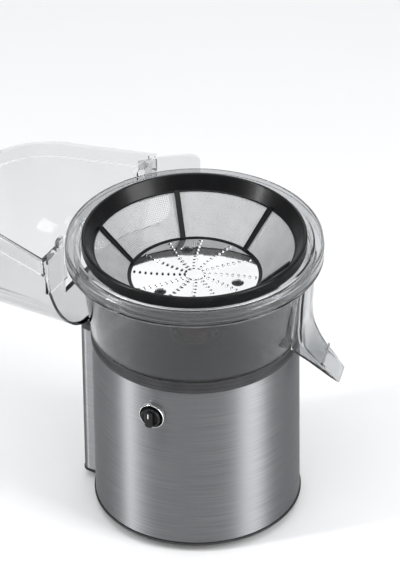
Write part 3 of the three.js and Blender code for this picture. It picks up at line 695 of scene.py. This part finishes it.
def add_knob():
    """The knob with its pointer line, and the bright ring and dark seat round it."""
    face = DRUM_RADIUS
    start = KNOB_ROOT_REACH
    bezel_outline = [(10.1, start), (BEZEL_RADIUS, start), (BEZEL_RADIUS, face + 3.2)]
    bezel_outline += [(BEZEL_RADIUS - 0.3, face + 3.8), (10.1, face + 3.8)]
    bezel = on_knob_axis(lathe("dial_ring", bezel_outline, 0.4, DIAL_ROUND))
    piece(cut(bezel, rod(face + 0.5, 0, 200)), "base", "bright_steel", "knob_bezel")
    seat_outline = [(8.9, start), (10, start), (10, face + 3.4), (9.5, face + 3), (8.9, face + 2.6)]
    seat = on_knob_axis(lathe("dial_seat", seat_outline, 0.2, DIAL_ROUND))
    piece(cut(seat, rod(face + 0.5, 0, 200)), "base", "black_gloss")
    skirt_outline = [
        (0, face + 1.2),
        (KNOB_RADIUS, face + 1.2),
        (KNOB_RADIUS, face + 5.6),
        (KNOB_RADIUS - 0.9, face + 7),
        (KNOB_RADIUS - 1.9, face + 7),
        (KNOB_RADIUS - 2.3, face + 6.5),
        (0, face + 6.5),
    ]
    knob = on_knob_axis(lathe("dial", skirt_outline, 0.5, DIAL_ROUND))
    grip = prism("grip", rounded_rectangle(0, KNOB_Z, 6.8, 14.8, 2.5), "y", -(face + 10), -(face + 5))
    bevelled(grip, 1.1, 4)
    joined(knob, spun(grip, KNOB_TURN))
    cut(knob, on_knob_axis(rod(SHAFT_BORE_RADIUS, start, face + 8.3, SMALL_ROUND)))
    piece(knob, "knob", "black_gloss", "speed_knob")
    line = rounded_rectangle(0, KNOB_Z + 4, 0.9, 4.6, 0.4)
    pointer = prism("dial_pointer", line, "y", -(face + 10.2), -(face + 9.6))
    piece(spun(pointer, KNOB_TURN), "knob", "bright_steel")


# ---------- juice bowl ----------


def bowl_outline():
    """The bowl's section, with a bead at its foot and a groove low on its rim band."""
    return [
        (COLLAR_RADIUS, BOWL_BOTTOM_Z),
        (BOWL_FOOT_RADIUS, BOWL_BOTTOM_Z),
        (BOWL_FOOT_RADIUS + 0.6, BOWL_BOTTOM_Z + 1),
        (BOWL_FOOT_RADIUS + 0.2, BOWL_BOTTOM_Z + 2),
        (BOWL_NECK_RADIUS, BAND_BOTTOM_Z - 1),
        (RIM_RADIUS - 1, BAND_BOTTOM_Z),
        (RIM_RADIUS, BAND_BOTTOM_Z + 1),
        (RIM_RADIUS, BAND_BOTTOM_Z + 2),
        (RIM_RADIUS - 1.2, BAND_BOTTOM_Z + 2.6),
        (RIM_RADIUS, BAND_BOTTOM_Z + 3.2),
        (RIM_RADIUS, RIM_Z - 4.6),
        (RIM_RADIUS - 0.6, RIM_Z - 4),
        (RIM_RADIUS - 0.6, RIM_Z),
        (RIM_RADIUS - WALL, RIM_Z),
        (RIM_RADIUS - WALL, RIM_Z - 11),
        (96.8, RIM_Z - 11),
        (96.8, RIM_Z - 3.4),
        (95, RIM_Z - 2),
        (BOWL_NECK_RADIUS - WALL, BAND_BOTTOM_Z - 1),
        (BOWL_FOOT_RADIUS - WALL, BOWL_FLOOR_Z),
        (COLLAR_RADIUS + WALL, BOWL_FLOOR_Z),
        (COLLAR_RADIUS + WALL, COLLAR_TOP_Z),
        (COLLAR_RADIUS, COLLAR_TOP_Z),
    ]


def add_bowl():
    """The bowl, open towards the container at the window and towards the spout at the outlet."""
    bowl = lathe("bowl", bowl_outline(), 0.7, FINE_ROUND, 4)
    height = 2 * (WINDOW_TOP_Z - WINDOW_SILL_Z)
    corners = rounded_rectangle(0, WINDOW_TOP_Z, 2 * WINDOW_HALF_WIDTH, height, 14, 8)
    below = [(y, z) for y, z in corners if z < WINDOW_TOP_Z]  # only the low corners are round
    outline = [(-WINDOW_HALF_WIDTH, WINDOW_TOP_Z), *below, (WINDOW_HALF_WIDTH, WINDOW_TOP_Z)]
    window = prism("window", outline, "x", -110, -40)
    outlet = prism("outlet", rounded_rectangle(0, BOWL_FLOOR_Z + 12, 26, 24, 4), "x", 70, 110)
    piece(cut(bowl, window, spun(outlet, SPOUT_TURN)), "bowl", "smoky_clear", "juice_bowl", degrees=30)


def bowl_space(clearance):
    """The bowl's outside grown by a clearance, to cut its neighbours with."""
    bottom = BAND_BOTTOM_Z - clearance
    outline = [
        (0, BOWL_BOTTOM_Z - 4),
        (BOWL_FOOT_RADIUS + clearance - 0.5, BOWL_BOTTOM_Z - 4),
        (BOWL_NECK_RADIUS + clearance, bottom - 1),
        (RIM_RADIUS + clearance, bottom),
        (RIM_RADIUS + clearance, RIM_Z + 20),
        (0, RIM_Z + 20),
    ]
    return lathe("bowl_space", outline, 0, FINE_ROUND)


def underside_drop(out):
    """How far below the rim the spout's underside lies at a distance from the axis."""
    return UNDERSIDE_DROP + UNDERSIDE_SLOPE * (out - UNDERSIDE_OUT)


def spout_plan(back, front, half):
    """A level outline of the spout: straight back and sides, small round corners and a bowed front."""
    bow = min(1.0, (front - back) * 0.3)
    corner = min(1.6, (front - back) * 0.6)
    reach = half - corner
    outline = [(back, -half)]
    for step in range(7):
        turn = math.pi / 2 * step / 6
        outline.append((front - bow - corner + corner * math.sin(turn), -reach - corner * math.cos(turn)))
    for step in range(1, 8):
        y = reach * (step / 4 - 1)
        outline.append((front - bow * (y / reach) ** 2, y))
    for step in range(7):
        turn = math.pi / 2 * step / 6
        outline.append((front - bow - corner + corner * math.cos(turn), reach + corner * math.sin(turn)))
    return [*outline, (back, half)]


def spout_sections(inset, floor, first_drop, last_drop, reach=SPOUT_REACH):
    """Level sections down the spout, whose back follows the sloping underside."""
    line = [(drop, out) for out, drop in curve_through(HOOD_LINE, 60)]
    sections = []
    for i in range(SPOUT_STEPS):
        drop = first_drop + (last_drop - first_drop) * i / (SPOUT_STEPS - 1)
        back = max(76.0, UNDERSIDE_OUT + (drop + floor - UNDERSIDE_DROP) / UNDERSIDE_SLOPE)
        front = max(min(value_at(line, drop) - inset, reach), back + 0.4)
        half = value_at(HALF_WIDTHS, drop) - inset
        sections.append([(x, y, RIM_Z - drop) for x, y in spout_plan(back, front, half)])
    return sections


def lip_channel():
    """The space above the open lip's floor, between its side walls."""
    sections = []
    for i in range(14):
        out = SPOUT_HOOD_END + (SPOUT_REACH + 4 - SPOUT_HOOD_END) * i / 13
        floor = RIM_Z - underside_drop(out) + WALL
        half = value_at(HALF_WIDTHS, underside_drop(out)) - 2
        top = RIM_Z - 60
        outline = [(-half, top), (-half, floor + 5), (-half + 1.4, floor + 1.5), (-half + 5, floor)]
        outline += [(half - 5, floor), (half - 1.4, floor + 1.5), (half, floor + 5), (half, top)]
        sections.append([(out, y, z) for y, z in outline])
    return loft("lip_channel", sections)


def add_spout():
    """A duct down the bowl's wall that becomes an open lip, with a bead at its end."""
    spout = loft("spout", spout_sections(0, 0, 16.5, SPOUT_DROP - 0.6))
    duct = loft("duct", spout_sections(2.1, WALL, 19, 103, SPOUT_HOOD_END + 0.5))
    bead_outline = rounded_rectangle(SPOUT_HOOD_END - 0.4, RIM_Z - DUCT_END_DROP, 1.8, 2.4, 0.8)
    bead = prism("bead", bead_outline, "y", -DUCT_END_HALF_WIDTH, DUCT_END_HALF_WIDTH)
    joined(cut(spout, duct, lip_channel(), bowl_space(0.5)), bead)
    piece(spun(spout, SPOUT_TURN), "bowl", "smoky_clear", "juice_spout", degrees=40)


def add_bush():
    bush = lathe("spindle_bush", band(6.2, 11.5, BOWL_BOTTOM_Z + GAP, COLLAR_TOP_Z - 1), 0.4, SMALL_ROUND)
    piece(bush, "bowl", "copper", "bowl_bush")


# ---------- filter basket ----------


def cone_point(share, outward):
    """A point on the mesh cone: share is 0 at the base ring and 1 at the top ring."""
    low_radius, high_radius = BASKET_BASE_RADIUS - 0.8, BASKET_MOUTH_RADIUS + 0.6
    low_z, high_z = DISC_TOP_Z + GAP, BASKET_MOUTH_Z - 0.6
    radius = low_radius + (high_radius - low_radius) * share
    return radius + outward, low_z + (high_z - low_z) * share


def at_screws(name, outline, soften=0.0):
    """Three bodies turned from one outline, each about a disc screw's axis."""
    turns = [SCREW_TURN + i * 2 * math.pi / 3 for i in range(3)]
    return [spun(moved(lathe(name, outline, soften, SMALL_ROUND), x=SCREW_CIRCLE), turn) for turn in turns]


def add_basket_frame():
    """The top ring, the floor that holds the disc, and six ribs between them, as one moulding."""
    ring = [
        (BASKET_RADIUS, RIM_Z - 5.5),
        (BASKET_RADIUS, BASKET_TOP_Z - 1),
        (BASKET_RADIUS - 1, BASKET_TOP_Z),
        (BASKET_RADIUS - 2.6, BASKET_TOP_Z),
        (BASKET_RADIUS - 3.2, BASKET_TOP_Z - 0.9),
        (BASKET_MOUTH_RADIUS + 1.4, BASKET_MOUTH_Z + 0.5),
        (BASKET_MOUTH_RADIUS, BASKET_MOUTH_Z),
        (BASKET_MOUTH_RADIUS + 2.4, BASKET_MOUTH_Z),
        (BASKET_RADIUS - 2.6, RIM_Z - 5.5),
    ]
    frame_body = lathe("basket", ring, 0.45)
    bottom = BASKET_FLOOR_TOP_Z - 4
    floor = [
        (8, bottom),
        (BASKET_BASE_RADIUS, bottom),
        (BASKET_BASE_RADIUS, DISC_TOP_Z - 0.3),
        (DISC_RADIUS + GAP, DISC_TOP_Z - 0.3),
        (DISC_RADIUS + GAP, BASKET_FLOOR_TOP_Z),
        (8, BASKET_FLOOR_TOP_Z),
    ]
    low, high = cone_point(0, -0.3), cone_point(1, -0.3)
    outline = [
        (low[0], low[1] - 2),
        low,
        high,
        (high[0], high[1] + 3),
        (high[0] - 1.8, high[1] + 2),
        (low[0] - 1.8, low[1]),
        (low[0] - 1.8, low[1] - 2),
    ]
    rib = bevelled(prism("rib", outline, "y", -RIB_WIDTH / 2, RIB_WIDTH / 2), 0.45, 3)
    ribs = [copied(rib, "rib", RIB_TURN + i * math.pi / 3) for i in range(6)]
    bpy.data.objects.remove(rib)
    joined(frame_body, lathe("basket_floor", floor, 0.3), *ribs)
    sink_z = DISC_TOP_Z - SCREW_POCKET_DEPTH - 1 - GAP
    hole = [(0, bottom - 1), (SCREW_BORE_RADIUS, bottom - 1), (SCREW_BORE_RADIUS, sink_z)]
    hole += [(5.7, sink_z), (5.7, 230), (0, 230)]
    piece(cut(frame_body, *at_screws("hole", hole)), "basket", "black_gloss", "basket_frame")


def add_screen():
    """The filter: a thin cone of steel sheet with a square hole in each cell of its grid."""
    outside, inside = 0.75, 0.35
    near, far = (1 - MESH_OPEN_SHARE) / 2, (1 + MESH_OPEN_SHARE) / 2
    vertices, faces = [], []

    def add_point(across, share):
        """A point on each side of the sheet, so many cells round and so far up the cone."""
        for outward in (outside, inside):
            radius, height = cone_point(share, outward)
            turn = 2 * math.pi * across / MESH_AROUND
            vertices.append((radius * math.cos(turn), radius * math.sin(turn), height))

    for row in range(MESH_ROWS + 1):
        for i in range(MESH_AROUND):
            add_point(i, row / MESH_ROWS)
    for row in range(MESH_ROWS):
        for i in range(MESH_AROUND):
            following = (i + 1) % MESH_AROUND
            corners = [(row * MESH_AROUND + i) * 2, (row * MESH_AROUND + following) * 2]
            corners += [((row + 1) * MESH_AROUND + following) * 2, ((row + 1) * MESH_AROUND + i) * 2]
            hole = len(vertices)
            for across, up in ((near, near), (far, near), (far, far), (near, far)):
                add_point(i + across, (row + up) / MESH_ROWS)
            for side in range(4):
                a, b = corners[side], corners[(side + 1) % 4]
                c, d = hole + (side + 1) % 4 * 2, hole + side * 2
                faces.append((a, b, c, d))
                faces.append((d + 1, c + 1, b + 1, a + 1))
                faces.append((d, c, c + 1, d + 1))
    for edge in (0, MESH_ROWS * MESH_AROUND * 2):
        for i in range(MESH_AROUND):
            here, there = edge + 2 * i, edge + 2 * ((i + 1) % MESH_AROUND)
            faces.append((here, here + 1, there + 1, there))
    piece(solid("screen", vertices, faces), "basket", "basket_mesh", "filter_mesh", degrees=50)


def tooth_places():
    """(radius, angle) of each grating tooth: a small ring and rows that trail slightly."""
    row_turn = 2 * math.pi / TOOTH_ROWS
    places = [(TOOTH_RING_RADIUS, row_turn * i) for i in range(TOOTH_ROWS)]
    for row in range(TOOTH_ROWS):
        for i in range(TEETH_PER_ROW):
            out = TOOTH_STEP * i
            places.append((FIRST_TOOTH_RADIUS + out, row_turn * (row + 1) - ROW_TRAIL * out))
    return places


def disc_height(radius):
    """The height of the disc's upper side, which slopes down from its middle."""
    return DISC_TOP_Z - DISC_DROP * radius / DISC_RADIUS


def turned_point(along, across, turn):
    """The x and y of a point that lies along and across a radius at an angle."""
    x = along * math.cos(turn) - across * math.sin(turn)
    y = along * math.sin(turn) + across * math.cos(turn)
    return x, y


def tooth_holes():
    """A small oval body through the disc at each tooth, as one mesh."""
    outline = [(0.85 * math.cos(math.pi * i / 6), 1.15 * math.sin(math.pi * i / 6) + 0.9) for i in range(12)]
    count = len(outline)
    vertices, faces = [], []
    for radius, turn in tooth_places():
        base = len(vertices)
        for height in (DISC_TOP_Z - 3, DISC_TOP_Z + 2):
            for along, across in outline:
                vertices.append((*turned_point(radius + along, across, turn), height))
        faces.append(tuple(range(base, base + count)))
        faces.append(tuple(range(base + count, base + 2 * count)))
        for j in range(count):
            k = (j + 1) % count
            faces.append((base + j, base + k, base + count + k, base + count + j))
    return solid("holes", vertices, faces)


def add_tooth_rows():
    """A barb over each hole of the disc: half a shell that rises to a cutting edge."""
    steps = 8
    vertices, faces = [], []
    for radius, turn in tooth_places():
        base = len(vertices)
        for share, height in ((1.0, -0.1), (0.8, 0.6), (0.3, 0.95)):
            for i in range(steps + 1):
                angle = math.pi * i / steps
                along = radius + 1.1 * share * math.cos(angle)
                across = -1.9 * share * math.sin(angle)
                vertices.append((*turned_point(along, across, turn), disc_height(radius) + height))
        for ring_start in (base, base + steps + 1):
            for i in range(steps):
                a = ring_start + i
                faces.append((a, a + 1, a + steps + 2, a + steps + 1))
        top = base + 2 * steps + 2
        faces.append((base, base + steps + 1, top, top + steps, base + 2 * steps + 1, base + steps))
        faces.append(tuple(range(top, top + steps + 1)))
        faces.append(tuple(range(base + steps, base - 1, -1)))
    piece(solid("disc_teeth", vertices, faces), "basket", "bright_steel", degrees=50)


def add_disc():
    """The grating disc: a shallow cone with a pocket round each screw and a hole before each tooth."""
    under = DISC_TOP_Z - DISC_THICKNESS
    outline = [(0, under), (DISC_RADIUS, under), (DISC_RADIUS, disc_height(DISC_RADIUS)), (0, DISC_TOP_Z)]
    disc = lathe("disc", outline, 0.15)
    holes = tooth_holes()
    floor_z = DISC_TOP_Z - SCREW_POCKET_DEPTH
    cups = at_screws("cup", band(0, SCREW_POCKET_RADIUS + 0.8, floor_z - 1, DISC_TOP_Z - 0.9))
    pocket = [
        (0, floor_z - 3),
        (SCREW_BORE_RADIUS, floor_z - 3),
        (SCREW_BORE_RADIUS, floor_z),
        (SCREW_POCKET_RADIUS - 0.4, floor_z),
        (SCREW_POCKET_RADIUS - 0.2, DISC_TOP_Z - 1.6),
        (SCREW_POCKET_RADIUS + 0.4, DISC_TOP_Z - 0.4),
        (SCREW_POCKET_RADIUS + 1.2, DISC_TOP_Z + 0.4),
        (0, DISC_TOP_Z + 0.4),
    ]
    cut(joined(disc, *cups), holes, *at_screws("pocket", pocket, 0.3))
    piece(disc, "basket", "bright_steel", "grating_disc")
    add_tooth_rows()


def add_disc_screws():
    """Three cross-headed screws that sit in the disc's pockets."""
    seat = DISC_TOP_Z - SCREW_POCKET_DEPTH + GAP
    head = [(0, seat - 2.5), (1.6, seat - 2.5), (1.6, seat), (4.1, seat), (4.0, seat + 1.1)]
    head += [(3.2, seat + 1.7), (0, seat + 1.9)]
    for i, screw in enumerate(at_screws("screw", head, 0.25)):
        turn = SCREW_TURN + i * 2 * math.pi / 3
        outline = [(SCREW_CIRCLE + x, y) for x, y in cross_outline(2.5, 0.55)]
        drive = spun(prism("drive", outline, "z", seat + 0.9, seat + 3), turn)
        screw.name = f"screw_{i + 1}"
        piece(cut(screw, drive), "basket", "black_matte", f"disc_screw_{i + 1}")


def cross_outline(reach, half):
    """A cross with arms that reach so far and are twice half wide."""
    quarter = [(reach, -half), (reach, half), (half, half)]
    return [turned_point(x, y, i * math.pi / 2) for i in range(4) for x, y in quarter]


def add_hub():
    top = BASKET_FLOOR_TOP_Z - 4 - GAP
    low = COLLAR_TOP_Z + 1.5
    outline = [(0, low), (13, low), (15, top - 5), (24, top), (0, top)]
    hub = lathe("hub", outline, 0.8, DIAL_ROUND)
    socket = rod(DOG_SOCKET_RADIUS, 170, COLLAR_TOP_Z + 17.6, 6)
    piece(cut(hub, socket), "basket", "black_gloss", "basket_hub")


# ---------- pulp container ----------


def bezier(start, first, second, end, steps=14):
    """Points along a cubic curve, without its start."""
    start, first, second, end = Vector(start), Vector(first), Vector(second), Vector(end)
    points = []
    for i in range(1, steps + 1):
        t = i / steps
        points.append(
            start * (1 - t) ** 3 + first * 3 * t * (1 - t) ** 2 + second * 3 * t * t * (1 - t) + end * t**3
        )
    return [tuple(point) for point in points]


def container_plan(inset, front):
    """The container seen from above: a straight front next to the bowl and a bowed back."""
    half, back = CONTAINER_HALF_WIDTH - inset, CONTAINER_BACK - inset
    low = (-150, -(half - 17.8))
    high = (-150, half - 17.8)
    outline = [(-front, half), (-front, -half), low]
    outline += bezier(low, (-186, 24 - half), (-back, -38), (-back, 0))
    outline += bezier((-back, 0), (-back, 38), (-186, half - 24), high)
    return outline


def container_section(inset, top):
    """The container seen along X: upright walls that curve in to a flat floor."""
    half, low = CONTAINER_HALF_WIDTH - inset, CONTAINER_BOTTOM_Z + inset
    left, right = (1.5 - half, RIM_Z - 12), (half - 1.5, RIM_Z - 12)
    outline = [(-half, top), left]
    outline += bezier(left, (9.8 - half, RIM_Z - 40), (25.8 - half, low + 2), (-20, low), 20)
    outline.append((20, low))
    outline += bezier((20, low), (half - 25.8, low + 2), (half - 9.8, RIM_Z - 40), right, 20)
    outline.append((half, top))
    return outline


def container_side(inset, front, top):
    """The container seen along Y: a floor that curves up into the back wall."""
    back, low = CONTAINER_BACK - inset, CONTAINER_BOTTOM_Z + inset
    bottom = (30 - back, low)
    outline = [(-front, top), (-front, low), bottom]
    outline += bezier(bottom, (14 - back, low), (8 - back, low + 14), (5 - back, low + 34), 10)
    outline.append((-back, top))
    return outline


def container_body(inset, front, top):
    """What the container's three outlines share."""
    across = CONTAINER_HALF_WIDTH + 5
    return common(
        prism("container", container_plan(inset, front), "z", 100, top),
        prism("section", container_section(inset, top), "x", -CONTAINER_BACK - 5, -CONTAINER_FRONT + 5),
        prism("side", container_side(inset, front, top), "y", -across, across),
    )


def block(x0, x1, y0, y1, z0, z1):
    """A plain box between those coordinates."""
    return prism("block", [(x0, y0), (x1, y0), (x1, y1), (x0, y1)], "z", z0, z1)


def container_lip():
    """A band round the top of the container that stands 3 mm out from its wall."""
    low, high = CONTAINER_TOP_Z - CONTAINER_LIP_HEIGHT, CONTAINER_TOP_Z
    lip = common(
        prism("lip", container_plan(-3, CONTAINER_FRONT), "z", low, high),
        block(-300, -CONTAINER_FRONT, -200, 200, 0, 300),
    )
    return cut(lip, prism("lip_inside", container_plan(WALL - 0.3, CONTAINER_INNER_FRONT), "z", 0, high + 1))


def container_ear():
    """The ear that reaches round the bowl's rim on the +Y side and stands above it, with a rounded end."""
    outline = []
    for radius, turns in ((RIM_RADIUS + 3.4, range(17)), (RIM_RADIUS + 1, range(16, -1, -1))):
        for i in turns:
            turn = math.radians(117 + 28 * i / 16)
            outline.append((radius * math.cos(turn), radius * math.sin(turn)))
    ear = prism("ear", outline, "z", RIM_Z - 8, EAR_TOP_Z)
    top, above = EAR_TOP_Z, EAR_TOP_Z + 5
    end = [(-56, above), (-56, top), (-53.2, top - 0.5), (-51, top - 2), (-49.4, top - 4.2)]
    end += [(-48.8, top - 7), (-40, top - 7), (-40, above)]
    return bevelled(cut(ear, prism("end", end, "y", 80, 110)), 0.5, 2)


def add_container():
    """The container with its lip, apron, ear and lug, and its mouth next to the bowl."""
    inner = CONTAINER_INNER_FRONT
    top = CONTAINER_TOP_Z
    shell = cut(container_body(0, CONTAINER_FRONT, top), container_body(WALL, inner, top + 1))
    half = CONTAINER_HALF_WIDTH - 1.5
    apron = block(-CONTAINER_FRONT - 1, WALL - CONTAINER_FRONT, -half, half, APRON_BOTTOM_Z, top)
    lug_outline = rounded_rectangle(-61.5, RIM_Z + 1.5, 10.5, 15, 4)
    lug = prism("lug", lug_outline, "x", -CONTAINER_FRONT - 3.5, -CONTAINER_FRONT)
    joined(shell, container_lip(), apron, container_ear(), bevelled(lug, 0.6))
    mouth = block(-inner - 1, -80, -MOUTH_HALF_WIDTH, MOUTH_HALF_WIDTH, RIM_Z - 46, RIM_Z + 20)
    cut(shell, mouth, bowl_space(0.8))
    piece(shell, "container", "clear_plastic", "pulp_container", degrees=30)


# ---------- scene ----------


def node_slots(record):
    """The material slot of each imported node."""
    return {part["node"]: part["material_slot"] for part in record["subparts"]}


def finish_packed_nodes(frame):
    """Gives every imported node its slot's material; the ones that a piece stands for are hidden anyway."""
    for node, slot in node_slots(frame["record"]).items():
        data = frame["nodes"][node].data
        data.materials.clear()
        data.materials.append(finishes[slot])


def add_floor():
    surface = Surface("pale_floor", {})
    cloud = surface.noise(3.0, 3.0)
    surface.feed("Base Color", surface.colours(cloud, (0.96, 0.96, 0.96), (0.975, 0.975, 0.975)))
    surface.feed("Roughness", surface.between(cloud, 0.75, 0.85))
    side = 9000
    corners = [(-side, -side), (side, -side), (side, side), (-side, side)]
    floor = prism("floor", corners, "z", FOOT_BOTTOM_Z - 40, FOOT_BOTTOM_Z)
    floor.data.materials.append(surface.material)


def direction(azimuth, elevation):
    """The way from the object towards a place seen at that azimuth, 0 at -Y and 90 at +X, and elevation."""
    a, e = math.radians(azimuth), math.radians(elevation)
    return Vector((math.sin(a) * math.cos(e), -math.cos(a) * math.cos(e), math.sin(e)))


def add_lamp(name, azimuth, elevation, distance, width, height, power):
    """An area lamp that faces the object. Its distance and size are in metres, its power in watts."""
    lamp = bpy.data.lights.new(name, "AREA")
    lamp.shape = "RECTANGLE"
    lamp.size, lamp.size_y = width, height
    lamp.energy = power
    holder = bpy.data.objects.new(name, lamp)
    back = direction(azimuth, elevation)
    holder.location = LAMP_TARGET + back * distance
    holder.rotation_mode = "QUATERNION"
    holder.rotation_quaternion = (-back).to_track_quat("-Z", "Y")
    bpy.context.scene.collection.objects.link(holder)


def add_lamps():
    add_lamp("overhead", 20, 80, 2.4, 2.2, 2.2, 27)
    add_lamp("backlight", 205, 38, 2.2, 2.4, 1.4, 9)
    add_lamp("left_strip", -43, 24, 1.6, 0.16, 1.5, 15)
    add_lamp("right_strip", 89, 24, 1.6, 0.7, 1.5, 22)


def add_world():
    world = bpy.data.worlds.new("studio")
    world.use_nodes = True
    background = world.node_tree.nodes["Background"]
    background.inputs["Color"].default_value = (0.93, 0.95, 1.0, 1)
    background.inputs["Strength"].default_value = 0.25
    bpy.context.scene.world = world
    bpy.context.scene.view_settings.view_transform = "Standard"


def add_camera():
    data = bpy.data.cameras.new("camera")
    data.lens = CAMERA_LENS
    data.clip_end = 50
    camera = bpy.data.objects.new("camera", data)
    back = direction(CAMERA_AZIMUTH, CAMERA_ELEVATION)
    level = (-back).to_track_quat("-Z", "Y")
    right, up = level @ Vector((1, 0, 0)), level @ Vector((0, 1, 0))
    target = Vector((0, 0, RIM_Z)) + right * RIM_OFFSET[0] - up * RIM_OFFSET[1]
    camera.location = target * MM + back * CAMERA_DISTANCE
    camera.rotation_mode = "QUATERNION"
    camera.rotation_quaternion = level @ Quaternion((0, 0, 1), math.radians(CAMERA_ROLL))
    bpy.context.scene.collection.objects.link(camera)
    bpy.context.scene.camera = camera


def set_light_bounces():
    cycles = bpy.context.scene.cycles
    cycles.max_bounces = LIGHT_BOUNCES
    cycles.transmission_bounces = LIGHT_BOUNCES
    cycles.transparent_max_bounces = LIGHT_BOUNCES


def clear_default_scene():
    for item in list(bpy.context.scene.objects):
        bpy.data.objects.remove(item)


clear_default_scene()
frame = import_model()
finishes = make_finishes()
finish_packed_nodes(frame)
set_light_bounces()

add_drum()
add_spine()
add_trim_ring()
add_base()
add_feet()
add_cord_gland()
add_knob()
add_bowl()
add_spout()
add_bush()
add_basket_frame()
add_screen()
add_disc()
add_disc_screws()
add_hub()
add_container()

add_floor()
add_lamps()
add_world()
add_camera()
